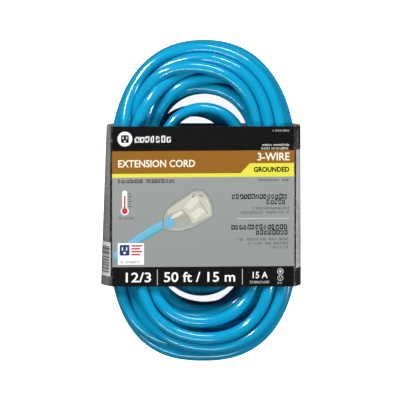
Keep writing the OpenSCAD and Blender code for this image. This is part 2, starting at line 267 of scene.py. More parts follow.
@dataclass
class Winding:
    """The coil's turns, packed by pressing a loose winding into the space of the coil.

    The turns cross a ring of stations, each a plane across the bundle. A strand's place
    there is u, outwards from the bundle's middle line, and z. The stations start at the
    coil's left side, and follow the winding, which is counter-clockwise from above.
    """

    cord_r: float
    outer: Outline
    eye: Outline
    mid_z: float
    half_h: float
    turns: int = 24
    stations: int = 96
    steps: int = 900
    plan_window: int = 13
    wander: float = 0.3
    wander_rates: tuple = (0.37, 0.83, 1.71)
    seed: int = 5

    # The first steps are loose: the bundle starts swollen, and strands are drawn hard to
    # their planned places. Gaps are in radii of the cord, between centrelines.
    swell: float = 1.7
    loose_share: float = 0.6
    loose_pull: float = 0.10
    tight_pull: float = 0.012
    bend_ease: float = 0.22
    kink_ease: float = 0.06
    pressed_gap: float = 2.03
    settle_steps: int = 50
    settle_share: float = 0.25
    settled_gap: float = 1.99

    # Each row is (turns from the start, lane, level). A turn starts at the left side, and .25
    # of it is the bottom, .5 the right side and .75 the top. Lane 0 is the innermost and 3 the
    # outermost. Level 0 is the lowest, level_count is the front, and a strand with more
    # than that is pressed against it over the others.
    lanes: tuple = (
        (0, 0, 1.8), (0.14, 0, 1.6), (0.295, -0.3, 1.6), (0.45, 0, 1.5), (0.55, 0, 1.4), (0.7, 0, 1.2),
        (0.86, -0.4, 1.2), (1, 0, 1), (1.14, 0, 0.9), (1.295, -0.3, 0.6), (1.45, 0, 0.5),
        (1.55, 0, 0.4), (1.86, -0.4, 0.2), (2, 0, 0), (3, 1, 0), (4, 2, 0), (5, 3, 0), (6, 3, 1),
        (7, 2, 1), (8, 1, 1), (9, 1, 2), (10, 2, 2), (11, 3, 2), (12, 3, 3), (13, 3, 4),
        (13.5, 2.5, 4.8), (13.62, 2.6, 5.4), (13.75, 3, 5.8), (13.83, 2.4, 6.2), (13.9, 1.5, 6.2),
        (14, 1, 6), (14.1, 0.9, 6.3), (14.19, 1.9, 6.6), (14.27, 2.5, 6.6), (14.34, 2, 6.4),
        (14.42, 1.2, 6.2), (14.5, 1, 5.8), (14.62, 1, 5.4), (14.75, 1.9, 5.2), (14.83, 2.5, 4.9),
        (14.9, 2.7, 4.8), (15, 3, 5), (15.13, 3.2, 4.6), (15.25, 3.2, 4), (15.5, 2.8, 4.4), (16, 2, 4),
        (17, 2, 3), (18, 1, 3), (18.5, 1.8, 4), (18.62, 1.6, 4.2), (18.75, 0.7, 5), (18.9, 0.1, 5.5),
        (19, 0.4, 5.7), (19.13, 0.9, 5.8), (19.25, 0.9, 5.8), (19.37, 0.1, 5.6), (19.5, 0, 5.5),
        (19.62, 0, 5.4), (19.75, 1, 5.2), (19.83, 1.4, 5), (19.9, 1.8, 4.9), (20, 2.1, 5.1),
        (20.13, 2.4, 5.2), (20.2, 2.2, 4.6), (20.3, 2, 4.4), (20.5, 1.6, 4.5), (21, 1, 4), (22, 0, 4),
        (23, 0, 3), (24, 0, 2.6),
    )
    lane_count: int = 3
    level_count: float = 5.6

    # Where the low turns slump into the eye: (middle and half width of the stretch, as
    # shares of a turn, and how far in metres).
    slumps: tuple = ((0.3, 0.2, 0.005), (0.86, 0.2, 0.004))

    # How far the ties draw in the coil's sides, and how far along it that is felt.
    cinch: float = 0.0032
    cinch_reach: float = 0.036

    def place_stations(self) -> None:
        """Work out the middle, outward normal and width of the bundle at each station."""
        angle = np.linspace(np.pi, 3 * np.pi, 3001)
        ray = np.stack([np.cos(angle), np.sin(angle)], axis=-1)
        origin = np.zeros_like(ray)
        far = (self.outer.reach(origin, ray, 0.3) + self.eye.reach(origin, ray, 0.3)) / 2
        middle = far[:, None] * ray
        run = np.concatenate([[0], np.cumsum(np.linalg.norm(np.diff(middle, axis=0), axis=1))])
        at = np.linspace(0, run[-1], self.stations + 1)[:-1]
        self.middle = np.stack([np.interp(at, run, middle[:, i]) for i in (0, 1)], axis=-1)
        along = np.roll(self.middle, -1, axis=0) - np.roll(self.middle, 1, axis=0)
        self.along = along / np.linalg.norm(along, axis=1, keepdims=True)
        self.normal = np.stack([self.along[:, 1], -self.along[:, 0]], axis=-1)
        self.low_u = self.cord_r - self.eye.reach(self.middle, -self.normal, 0.05)
        drawn_in = self.cinch * np.exp(-((self.middle[:, 1] / self.cinch_reach) ** 2))
        self.high_u = self.outer.reach(self.middle, self.normal, 0.05) - self.cord_r - drawn_in

    def crossings(self, line: np.ndarray) -> np.ndarray:
        """Where a fixed stretch of cord crosses the stations' planes.

        Args:
            line: Closely spaced points of the stretch.

        Returns:
            Up to two places for each station, far away where there is none.
        """
        found = np.full((2, self.stations, 2), 10.0)
        for k in range(self.stations):
            offset = line[:, :2] - self.middle[k]
            ahead, out = offset @ self.along[k], offset @ self.normal[k]
            hits = np.nonzero((ahead[:-1] * ahead[1:] <= 0) & (np.abs(out[:-1]) < 0.05))[0]
            for slot, j in enumerate(hits[:2]):
                found[slot, k] = (out[j], line[j, 2] - self.mid_z)
        return found

    def wind(self, first: np.ndarray, last: np.ndarray, leads: Iterable[np.ndarray]) -> np.ndarray:
        """Wind the turns between two fixed places on the coil's left side.

        Args:
            first: Where the cord from the plug enters the bundle.
            last: Where the cord to the receptacle leaves it.
            leads: Stretches of cord that the turns keep clear of.

        Returns:
            Points of the cord's centreline, in winding order.
        """
        self.place_stations()
        count = self.turns * self.stations
        turn = np.arange(count + 1) / self.stations
        station = np.arange(count + 1) % self.stations
        low, high = self.low_u[station], self.high_u[station]
        centre, half_u = (low + high) / 2, (high - low) / 2
        place = self.planned(turn, centre, half_u)
        part_turn = station / self.stations
        room = np.zeros(count + 1)
        for middle, half, depth in self.slumps:
            room += depth * np.cos(np.clip((part_turn - middle) / half, -1, 1) * np.pi / 2) ** 2
        goal = np.stack([centre, np.zeros_like(centre)], axis=-1)
        fixed = np.concatenate([self.crossings(line) for line in leads])
        ends = np.array([self.local(first), self.local(last)])
        target = place.copy()
        loose_steps = self.loose_share * self.steps
        for step in range(self.steps):
            swell = 1 + (self.swell - 1) * max(0.0, 1 - step / loose_steps)
            pull = self.loose_pull if step < loose_steps else self.tight_pull
            place += pull * (goal + (target - goal) * swell - place)
            ease = place[:-2] - 2 * place[1:-1] + place[2:]
            place[1:-1] += self.bend_ease * ease
            place[2:-2] -= self.kink_ease * (ease[:-2] - 2 * ease[1:-1] + ease[2:])
            place[0], place[-1] = ends
            self.part(place, fixed, self.pressed_gap * self.cord_r)
            self.contain(place, centre, half_u * swell, self.half_h * swell, room)
        for _ in range(self.settle_steps):
            ease = place[:-2] - 2 * place[1:-1] + place[2:]
            place[1:-1] += self.settle_share * ease
            place[0], place[-1] = ends
            self.part(place, fixed, self.settled_gap * self.cord_r, self.settle_share)
            self.contain(place, centre, half_u, self.half_h, room)
        flat = self.middle[station] + place[:, :1] * self.normal[station]
        return np.column_stack([flat, place[:, 1] + self.mid_z])

    def planned(self, turn: np.ndarray, centre: np.ndarray, half_u: np.ndarray) -> np.ndarray:
        """Places of the strands by the plan of lanes and levels, before they are pressed together.

        Args:
            turn: Turns from the start, for each point of the cord.
            centre: Middle of the bundle there.
            half_u: Half its width there.

        Returns:
            Rows of u and z.
        """
        table = np.array(self.lanes, float)
        window = np.hanning(self.plan_window)
        window /= window.sum()
        lane, level = (
            np.convolve(np.pad(np.interp(turn, table[:, 0], table[:, i]), self.plan_window // 2, "edge"),
                        window, "valid")
            for i in (1, 2)
        )
        rng = np.random.default_rng(self.seed)
        for v in (lane, level):
            for rate in self.wander_rates:
                v += self.wander * np.sin(2 * np.pi * (rate * turn + rng.random()))
        return np.stack([centre + half_u * (2 * lane / self.lane_count - 1),
                         self.half_h * (2 * level / self.level_count - 1)], axis=-1)

    def local(self, point: np.ndarray) -> tuple[float, float]:
        """A point's place at the first station."""
        return float((point[:2] - self.middle[0]) @ self.normal[0]), float(point[2] - self.mid_z)

    def part(self, place: np.ndarray, fixed: np.ndarray, gap: float, force: float = 0.6) -> None:
        """Push strands apart that are too close, station by station.

        Args:
            place: Every strand's u and z, which change.
            fixed: Places that stay where they are.
            gap: How far apart the centrelines should be.
            force: Share of the way that they are pushed.
        """
        count = self.turns * self.stations
        moving = place[:count].reshape(self.turns, self.stations, 2)
        total = 0.0
        for others, share in ((moving, 0.5), (fixed, 1.0)):
            offset = moving[:, None] - others[None]
            dist = np.linalg.norm(offset, axis=-1) + 1e-9
            near = np.clip(gap - dist, 0, None)
            if others is moving:
                near[np.arange(self.turns), np.arange(self.turns)] = 0
            total = total + ((share * near / dist)[..., None] * offset).sum(1)
        place[:count] += force * total.reshape(count, 2)

    def contain(self, place: np.ndarray, centre: np.ndarray, half_u: np.ndarray, half_h: float,
                room: np.ndarray) -> None:
        """Keep the strands inside the bundle's rounded cross-section.

        Args:
            place: Every strand's u and z, which change.
            centre: Middle of the bundle for each of them.
            half_u: Half its width there.
            half_h: Half its height.
            room: How much further in the low strands may lie.
        """
        du, dz = place[:, 0] - centre, place[:, 1]
        low = np.clip(0.3 - dz / half_h, 0, 1)
        reach = np.where(du < 0, half_u + room * low, half_u)
        power = 3.4
        out = (np.abs(du / reach) ** power + np.abs(dz / half_h) ** power) ** (1 / power)
        squeeze = np.where(out > 1, 1 / out, 1.0)
        place[:, 0] = centre + du * squeeze
        place[:, 1] = dz * squeeze


# ---- Meshes of the cord ----


def smooth_route(points: Sequence[Sequence[float]], steps: int = 24) -> np.ndarray:
    """A smooth curve through points in millimetres.

    Args:
        points: Points that the curve passes through.
        steps: Points of the curve between two of them.

    Returns:
        Closely spaced points in metres.
    """
    p = np.array(points, float) * MM
    p = np.concatenate([[2 * p[0] - p[1]], p, [2 * p[-1] - p[-2]]])
    t = np.linspace(0, 1, steps, endpoint=False)[:, None]
    spans = [
        0.5 * (2 * b + (c - a) * t + (2 * a - 5 * b + 4 * c - d) * t**2 + (3 * b - a - 3 * c + d) * t**3)
        for a, b, c, d in zip(p, p[1:], p[2:], p[3:])
    ]
    return np.concatenate([*spans, p[-2:-1]])


def even_steps(points: np.ndarray, step: float) -> np.ndarray:
    """Points at even steps along a line of points.

    Args:
        points: The line, in metres.
        step: About how far apart the new points are.

    Returns:
        The new points, with both ends kept.
    """
    run = np.concatenate([[0], np.cumsum(np.linalg.norm(np.diff(points, axis=0), axis=1))])
    at = np.linspace(0, run[-1], max(2, round(run[-1] / step)))
    return np.stack([np.interp(at, run, points[:, i]) for i in range(3)], axis=-1)


def carried_frames(points: np.ndarray) -> tuple[np.ndarray, np.ndarray]:
    """Two directions across a line at each point, carried along it without twist.

    Args:
        points: Points of the line.

    Returns:
        Two arrays of unit vectors.
    """
    heading = np.gradient(points, axis=0)
    heading /= np.linalg.norm(heading, axis=1, keepdims=True)
    side = np.empty_like(points)
    side[0] = np.cross(heading[0], (0.0, 0.0, 1.0))
    side[0] /= np.linalg.norm(side[0])
    for i in range(1, len(points)):
        carried = side[i - 1] - heading[i] * (side[i - 1] @ heading[i])
        side[i] = carried / np.linalg.norm(carried)
    return side, np.cross(side, heading)


def ring_faces(count: int, sides: int, closed: bool = False) -> list[tuple[int, ...]]:
    """Faces between rings of points that are stored one ring after another.

    Args:
        count: Number of rings.
        sides: Points of each ring.
        closed: Whether the last ring joins the first.

    Returns:
        Tuples of four point numbers.
    """
    return [
        (i * sides + j, i * sides + (j + 1) % sides,
         (i + 1) % count * sides + (j + 1) % sides, (i + 1) % count * sides + j)
        for i in range(count if closed else count - 1) for j in range(sides)
    ]


def tube(name: str, points: np.ndarray, radius: float, sides: int) -> bpy.types.Object:
    """A round tube along points, with flat ends and a UV map.

    The map's U goes once round the tube, and its V is the distance along it in metres.

    Args:
        name: Object name.
        points: Centres of its rings.
        radius: Radius in metres.
        sides: Corners of each ring.

    Returns:
        The tube.
    """
    side, lift = carried_frames(points)
    turn = np.arange(sides) * 2 * np.pi / sides
    rings = points[:, None] + radius * (
        np.cos(turn)[None, :, None] * side[:, None] + np.sin(turn)[None, :, None] * lift[:, None]
    )
    count = len(points)
    i, j = np.meshgrid(np.arange(count - 1), np.arange(sides), indexing="ij")
    k = (j + 1) % sides
    quads = np.stack([i * sides + j, i * sides + k, (i + 1) * sides + k, (i + 1) * sides + j], axis=-1)
    caps = [tuple(range(sides - 1, -1, -1)), tuple((count - 1) * sides + np.arange(sides))]
    obj = mesh_object(name, rings.reshape(-1, 3), [*quads.reshape(-1, 4).tolist(), *caps])
    run = np.concatenate([[0], np.cumsum(np.linalg.norm(np.diff(points, axis=0), axis=1))])
    u = np.stack([j, j + 1, j + 1, j], axis=-1) / sides
    v = np.stack([run[i], run[i], run[i + 1], run[i + 1]], axis=-1)
    uv = np.concatenate([np.stack([u, v], axis=-1).reshape(-1, 2), np.zeros((2 * sides, 2))])
    obj.data.uv_layers.new(name="along").data.foreach_set("uv", uv.ravel())
    return obj


# ---- Geometry Nodes ----


@dataclass
class NodeRecipe:
    """A Geometry Nodes tree with named inputs, built once and applied as a plain mesh."""

    name: str
    inputs: dict
    fill: Callable
    tree: bpy.types.NodeTree | None = None

    def build(self) -> bpy.types.NodeTree:
        """Build the tree: its sockets, then its nodes, up to Realize Instances and Set Material.

        Returns:
            The tree.
        """
        if self.tree:
            return self.tree
        tree = bpy.data.node_groups.new(self.name, "GeometryNodeTree")
        tree.interface.new_socket("Geometry", in_out="OUTPUT", socket_type="NodeSocketGeometry")
        for label, value in self.inputs.items():
            kind = "NodeSocketInt" if isinstance(value, int) else "NodeSocketFloat"
            socket = tree.interface.new_socket(label, in_out="INPUT", socket_type=kind)
            socket.default_value = value
        tree.interface.new_socket("Material", in_out="INPUT", socket_type="NodeSocketMaterial")
        given = add_node(tree, "NodeGroupInput").outputs
        real = add_node(tree, "GeometryNodeRealizeInstances", links={"Geometry": self.fill(tree, given)})
        dressed = add_node(tree, "GeometryNodeSetMaterial",
                           links={"Geometry": real, "Material": given["Material"]})
        add_node(tree, "NodeGroupOutput", links={"Geometry": dressed})
        self.tree = tree
        return tree

    def mesh(self, values: dict, material: bpy.types.Material | None = None) -> bpy.types.Mesh:
        """Evaluate the tree.

        Args:
            values: Values of its named inputs.
            material: What it sets on the faces.

        Returns:
            A plain mesh.
        """
        tree = self.build()
        holder = add_object(self.name, bpy.data.meshes.new(self.name))
        modifier = holder.modifiers.new(self.name, "NODES")
        modifier.node_group = tree
        for item in tree.interface.items_tree:
            if item.in_out != "INPUT":
                continue
            if item.name in values:
                modifier[item.identifier] = values[item.name]
            elif item.name == "Material" and material:
                modifier[item.identifier] = material
        mesh = plain_mesh(holder)
        holder.modifiers.clear()
        bpy.data.objects.remove(holder)
        return mesh

    def flat_faces(self, values: dict) -> tuple[np.ndarray, list[tuple[int, ...]]]:
        """Evaluate a flat tree.

        Args:
            values: Values of its named inputs.

        Returns:
            Rows of x and y, and faces as tuples of point numbers.
        """
        mesh = self.mesh(values)
        xy = np.array([v.co[:2] for v in mesh.vertices]).reshape(-1, 2)
        faces = [tuple(p.vertices) for p in mesh.polygons]
        bpy.data.meshes.remove(mesh)
        return xy, faces


# ---- Node trees for what repeats ----


def stamped_row(tree: bpy.types.NodeTree, given: "bpy.types.NodeOutputs", plate: bpy.types.Node,
                widths: tuple[float, float], least_height: float = 1.0,
                spaced: bool = False) -> bpy.types.Node:
    """A row of one flat stamp at uneven sizes, each in its own cell.

    Args:
        tree: Tree to add to.
        given: Outputs of its input node: Length, Height, Pitch and Seed, and Spaces if spaced.
        plate: Node of the stamp, one unit wide and high round its middle.
        widths: Least and greatest share of a cell that a stamp fills.
        least_height: Least share of the row's height that it fills.
        spaced: Whether some cells stay empty.

    Returns:
        Node of the row's instances.
    """
    add = partial(add_node, tree)
    size = add("ShaderNodeCombineXYZ", None, {"Z": 1.0}, {"X": given["Pitch"], "Y": given["Height"]})
    step = add("ShaderNodeCombineXYZ", links={"X": given["Pitch"]})
    count = add("ShaderNodeMath", {"operation": "DIVIDE"}, links={0: given["Length"], 1: given["Pitch"]})
    cells = add("GeometryNodeMeshLine", links={"Count": count, "Offset": step})
    if spaced:
        space = add("FunctionNodeRandomValue", {"data_type": "BOOLEAN"},
                    links={"Probability": given["Spaces"], "Seed": given["Seed"]})
        cells = add("GeometryNodeDeleteGeometry", {"domain": "POINT"},
                    links={"Geometry": cells, "Selection": space})
    stamp = add("GeometryNodeTransform", None, {"Translation": (0.5, 0.5, 0)}, {"Geometry": plate})
    share = add("FunctionNodeRandomValue", {"data_type": "FLOAT_VECTOR"},
                {0: (widths[0], least_height, 1.0), 1: (widths[1], 1.0, 1.0)}, {"Seed": given["Seed"]})
    scale = add("ShaderNodeVectorMath", {"operation": "MULTIPLY"}, links={0: share, 1: size})
    return add("GeometryNodeInstanceOnPoints", links={"Points": cells, "Instance": stamp, "Scale": scale})


def letter_row(tree: bpy.types.NodeTree, given: "bpy.types.NodeOutputs") -> bpy.types.Node:
    """A row of little broken frames of uneven size, with some left out as spaces.

    Args:
        tree: Tree to add to.
        given: Outputs of its input node: Length, Height, Pitch, Hole, Spaces and Seed.

    Returns:
        Node of the row's geometry.
    """
    add = partial(add_node, tree)
    plate = add("GeometryNodeMeshGrid", None,
                {"Size X": 1.0, "Size Y": 1.0, "Vertices X": 6, "Vertices Y": 6})
    place = add("GeometryNodeInputPosition")
    apart = add("ShaderNodeVectorMath", {"operation": "ABSOLUTE"}, links={0: place})
    sides = add("ShaderNodeSeparateXYZ", links={"Vector": apart}).outputs
    further = add("ShaderNodeMath", {"operation": "MAXIMUM"}, links={0: sides["X"], 1: sides["Y"]})
    middle = add("ShaderNodeMath", {"operation": "LESS_THAN"}, links={0: further, 1: given["Hole"]})
    ring = add("GeometryNodeDeleteGeometry", {"domain": "FACE"},
               links={"Geometry": plate, "Selection": middle})
    placed = stamped_row(tree, given, ring, (0.5, 0.84), 0.74, spaced=True)
    real = add("GeometryNodeRealizeInstances", links={"Geometry": placed})
    gap = add("FunctionNodeRandomValue", {"data_type": "BOOLEAN"}, {"Probability": 0.16},
              {"Seed": given["Seed"]})
    return add("GeometryNodeDeleteGeometry", {"domain": "FACE"},
               links={"Geometry": real, "Selection": gap})


def bar_row(tree: bpy.types.NodeTree, given: "bpy.types.NodeOutputs") -> bpy.types.Node:
    """A row of bars of one height and uneven width.

    Args:
        tree: Tree to add to.
        given: Outputs of its input node: Length, Height, Pitch and Seed.

    Returns:
        Node of the row's geometry.
    """
    plate = add_node(tree, "GeometryNodeMeshGrid", None,
                     {"Size X": 1.0, "Size Y": 1.0, "Vertices X": 2, "Vertices Y": 12})
    return stamped_row(tree, given, plate, (0.2, 0.85))


def twisted_tail(tree: bpy.types.NodeTree, given: "bpy.types.NodeOutputs") -> bpy.types.Node:
    """Two ends of a tie twisted round each other, along +Y.

    Args:
        tree: Tree to add to.
        given: Outputs of its input node: Length, Turns, Width and Thickness.

    Returns:
        Node of the tail's geometry.
    """
    add = partial(add_node, tree)
    end = add("ShaderNodeCombineXYZ", links={"Y": given["Length"]})
    line = add("GeometryNodeCurvePrimitiveLine", links={"End": end})
    fine = add("GeometryNodeResampleCurve", None, {"Count": 60}, {"Curve": line})
    along = add("GeometryNodeSplineParameter").outputs["Factor"]
    angle = add("ShaderNodeMath", {"operation": "MULTIPLY"}, links={0: along, 1: given["Turns"]})
    turned = add("ShaderNodeMath", {"operation": "MULTIPLY"}, {1: 2 * math.pi}, {0: angle})
    tilted = add("GeometryNodeSetCurveTilt", links={"Curve": fine, "Tilt": turned})
    strip = add("GeometryNodeCurvePrimitiveQuadrilateral",
                links={"Width": given["Width"], "Height": given["Thickness"]})
    return add("GeometryNodeCurveToMesh", None, {"Fill Caps": True},
               {"Curve": tilted, "Profile Curve": strip})


def grip_ribs(tree: bpy.types.NodeTree, given: "bpy.types.NodeOutputs") -> bpy.types.Node:
    """Rounded finger ribs across Y, one after another along +Z.

    Args:
        tree: Tree to add to.
        given: Outputs of its input node: Count, Pitch, Length, Width and Rise.

    Returns:
        Node of the ribs' geometry.
    """
    add = partial(add_node, tree)
    step = add("ShaderNodeCombineXYZ", links={"Z": given["Pitch"]})
    line = add("GeometryNodeMeshLine", links={"Count": given["Count"], "Offset": step})
    bead = add("GeometryNodeMeshUVSphere", None, {"Segments": 16, "Rings": 10, "Radius": 0.5})
    size = add("ShaderNodeCombineXYZ",
               links={"X": given["Rise"], "Y": given["Length"], "Z": given["Width"]})
    return add("GeometryNodeInstanceOnPoints", links={"Points": line, "Instance": bead, "Scale": size})


LETTER_ROW = NodeRecipe("letter_row", {"Length": 30.0, "Height": 2.0, "Pitch": 1.6, "Hole": 0.3,
                                       "Spaces": 0.13, "Seed": 1}, letter_row)
BAR_ROW = NodeRecipe("bar_row", {"Length": 30.0, "Height": 12.0, "Pitch": 1.0, "Seed": 1}, bar_row)
TWISTED_TAIL = NodeRecipe("twisted_tail", {"Length": 0.014, "Turns": 3.5, "Width": 0.0026,
                                           "Thickness": 0.0012}, twisted_tail)
GRIP_RIBS = NodeRecipe("grip_ribs", {"Count": 5, "Pitch": 0.0026, "Length": 0.014, "Width": 0.0018,
                                     "Rise": 0.0018}, grip_ribs)


# ---- Finishes ----


@dataclass(frozen=True)
class Finish:
    """A finish that is one Principled surface with a fine grain. Subclasses add their pattern.

    The constants sit on the shader's own sockets. Scales of patterns are cycles in a
    metre, worked out from a size in millimetres by per_mm.
    """

    name: str
    colour: str
    roughness: float = 0.5
    metallic: float = 0.0
    ior: float = 1.5
    coat: float = 0.0
    transmission: float = 0.0
    grain_mm: float = 0.6
    depth_mm: float = 0.01
    colour_share: float = 0.06

    def material(self) -> bpy.types.Material:
        """Build the material once, and hand back the same one after that.

        Returns:
            The material.
        """
        found = bpy.data.materials.get(self.name)
        if found:
            return found
        material = bpy.data.materials.new(self.name)
        material.use_nodes = True
        shader = material.node_tree.nodes["Principled BSDF"]
        shader.inputs["Base Color"].default_value = srgb(self.colour)
        shader.inputs["Roughness"].default_value = self.roughness
        shader.inputs["Metallic"].default_value = self.metallic
        shader.inputs["IOR"].default_value = self.ior
        shader.inputs["Coat Weight"].default_value = self.coat
        shader.inputs["Transmission Weight"].default_value = self.transmission
        material.diffuse_color = srgb(self.colour)
        self.pattern(material.node_tree, shader)
        return material

    def pattern(self, tree: bpy.types.NodeTree, shader: bpy.types.Node) -> None:
        """Add what varies over the surface."""
        self.uneven(tree, shader)

    @staticmethod
    def per_mm(size_mm: float) -> float:
        """Pattern scale for a feature of a size in millimetres."""
        return 1 / (size_mm * MM)

    def uneven(self, tree: bpy.types.NodeTree, shader: bpy.types.Node) -> None:
        """Fine grain in the bump, and a slow change of tone and gloss.

        Args:
            tree: The material's node tree.
            shader: Its Principled node.
        """
        add = partial(add_node, tree)
        place = add("ShaderNodeTexCoord").outputs["Object"]
        grain = add("ShaderNodeTexNoise", values={"Scale": self.per_mm(self.grain_mm), "Detail": 3.0},
                    links={"Vector": place})
        bump = add("ShaderNodeBump", values={"Strength": 1.0, "Distance": self.depth_mm * MM},
                   links={"Height": grain})
        feed(tree, shader, "Normal", bump)
        slow = add("ShaderNodeTexNoise", values={"Scale": self.per_mm(14), "Detail": 2.0},
                   links={"Vector": place})
        base = srgb(self.colour)
        dark = tuple(c * (1 - self.colour_share) for c in base[:3]) + (1.0,)
        light = tuple(min(1.0, c * (1 + self.colour_share)) for c in base[:3]) + (1.0,)
        tone = add("ShaderNodeMix", {"data_type": "RGBA"}, {"A": dark, "B": light}, {"Factor": slow})
        feed(tree, shader, "Base Color", tone)
        glossier, duller = max(0.0, self.roughness - 0.04), self.roughness + 0.05
        gloss = add("ShaderNodeMapRange", None, {"To Min": glossier, "To Max": duller}, {"Value": slow})
        feed(tree, shader, "Roughness", gloss)


@dataclass(frozen=True)
class JacketPvc(Finish):
    """Glossy extruded PVC. The three twisted wires inside raise a faint lay along it.

    It gives the eye a wet, saturated blue with thin white highlights that waver a little.
    """

    name: str = "extruded_blue_pvc"
    colour: str = "0898c6"
    roughness: float = 0.15
    ior: float = 1.52
    coat: float = 0.3
    lay: float = 0.11

    def pattern(self, tree: bpy.types.NodeTree, shader: bpy.types.Node) -> None:
        """A faint three-start lay, drawn marks along the length and a slow change of tone.

        Args:
            tree: The material's node tree.
            shader: Its Principled node.
        """
        shader.inputs["Coat Roughness"].default_value = 0.04
        add = partial(add_node, tree)
        uv = add("ShaderNodeUVMap", {"uv_map": "along"}).outputs["UV"]
        parts = add("ShaderNodeSeparateXYZ", links={"Vector": uv})
        wires = 3.0
        turned = add("ShaderNodeMath", {"operation": "MULTIPLY_ADD"}, {1: wires / self.lay},
                     {0: parts.outputs["Y"]})
        around = add("ShaderNodeMath", {"operation": "MULTIPLY"}, {1: wires}, {0: parts.outputs["X"]})
        feed(tree, turned, 2, around)
        angle = add("ShaderNodeMath", {"operation": "MULTIPLY"}, {1: 2 * math.pi}, {0: turned})
        ridge = add("ShaderNodeMath", {"operation": "SINE"}, links={0: angle})
        stretch = add("ShaderNodeMapping", values={"Scale": (6.0, self.per_mm(9), 1.0)},
                      links={"Vector": uv})
        drawn = add("ShaderNodeTexNoise", values={"Scale": 1.0, "Detail": 3.0}, links={"Vector": stretch})
        height = add("ShaderNodeMath", {"operation": "MULTIPLY_ADD"}, {1: 0.35}, {0: drawn, 2: ridge})
        bump = add("ShaderNodeBump", values={"Strength": 1.0, "Distance": 0.05 * MM},
                   links={"Height": height})
        feed(tree, shader, "Normal", bump)
        place = add("ShaderNodeTexCoord").outputs["Object"]
        slow = add("ShaderNodeTexNoise", values={"Scale": self.per_mm(35), "Detail": 2.0},
                   links={"Vector": place})
        tone = add("ShaderNodeMix", {"data_type": "RGBA"}, {"A": srgb("0693c0"), "B": srgb("0a9dcb")},
                   {"Factor": slow})
        feed(tree, shader, "Base Color", tone)


# Moulded PVC with the spark-eroded texture of its mould: a satin blue beside the glossy
# cord. The real texture is under 0.1 mm, too fine to show, so it is drawn at 0.35 mm.
SPARK_PVC = Finish("moulded_blue_pvc", "0a88c6", roughness=0.38, grain_mm=0.35, depth_mm=0.03,
                   colour_share=0.05)
# Clear, slightly yellow moulded PVC: a glassy shell with the contacts and lamp showing.
CLEAR_PVC = Finish("clear_moulded_pvc", "f1f1e4", roughness=0.12, transmission=0.92, grain_mm=2.5,
                   depth_mm=0.04, colour_share=0.02)
# Uncoated board inside the sleeve and on its cut edges: a dull, speckled grey. The paper
# fibres are drawn at 0.8 mm, a few times coarser than real ones, so that they show.
RAW_CARD = Finish("uncoated_grey_board", "b9b6ae", roughness=0.92, grain_mm=0.8, depth_mm=0.05,
                  colour_share=0.14)
# Satin off-white of the moulded inserts.
NYLON = Finish("moulded_white_nylon", "e6e3d8", roughness=0.42)
# Three satin insulation colours that tell the wires apart.
BLACK_WIRE = Finish("extruded_black_pvc", "161616", roughness=0.35)
WHITE_WIRE = Finish("extruded_white_pvc", "e9e9e4", roughness=0.35)
GREEN_WIRE = Finish("extruded_green_pvc", "0f7a34", roughness=0.35)
# A clear, warm orange bead inside the clear shell.
LAMP_GLASS = Finish("neon_lamp_glass", "ffb27a", roughness=0.05, transmission=0.7)
# Matt tan, as the body of a small resistor.
RESISTOR = Finish("painted_ceramic_resistor", "c9a878", roughness=0.45)
# Dull black strip that stays in the background between the blue strands.
TIE_PLASTIC = Finish("black_tie_pvc", "101010", roughness=0.45)
# Metals scuffed by handling: a bright, slightly clouded shine. Real scuffs are some
# hundredths of a millimetre wide, too fine to show, so they are drawn at 0.25 mm.
METAL = partial(Finish, metallic=1.0, grain_mm=0.25, depth_mm=0.006, colour_share=0.08)
# Cool bright silver of the blades and the pin.
NICKEL = METAL("nickel_plated_brass", "d6d3ca", roughness=0.22)
# Warm yellow metal of the contacts and crimps.
BRASS = METAL("stamped_brass", "d2a85a", roughness=0.28)
# Plain soft silver of the lamp's thin leads.
TINNED = METAL("tinned_copper_wire", "cfcfcf", roughness=0.3)


class Ink(Enum):
    """The inks of the sleeve's print, as sRGB hex.

    They give the eye flat printed tones: dark bands, a brown one and a yellow one, pale
    lettering, and the blue and clear tones of the picture.
    """

    BLACK = "0d0c0b"
    BROWN = "8f5f21"
    YELLOW = "ddd747"
    GREY = "919593"
    CREAM = "f0ead8"
    WHITE = "f4f4f2"
    PALE = "c9cbca"
    DARK = "2a2a29"
    RED = "c23a34"
    SKY = "66aecb"
    SKY_SHADE = "5099b8"
    CLEAR = "bdbcad"
    CLEAR_SHADE = "a09f90"
    CLEAR_LIGHT = "cfcec2"
    OUTLINE = "7f827b"
    GLAZE = "9fa29b"
    GLINT = "b9bcb6"
    SKY_LIGHT = "86c0d8"
    NAVY = "2b3c78"


def ink(colour: Ink) -> bpy.types.Material:
    """The material of an ink: a flat tone with the soft sheen of a dull varnish.

    Args:
        colour: The ink.

    Returns:
        Its material, with the board's slight grain, drawn coarser than real so that it shows.
    """
    finish = Finish("ink_" + colour.name.lower(), colour.value, roughness=0.34, ior=1.42, grain_mm=0.5,
                    depth_mm=0.008, colour_share=0.03)
    return finish.material()


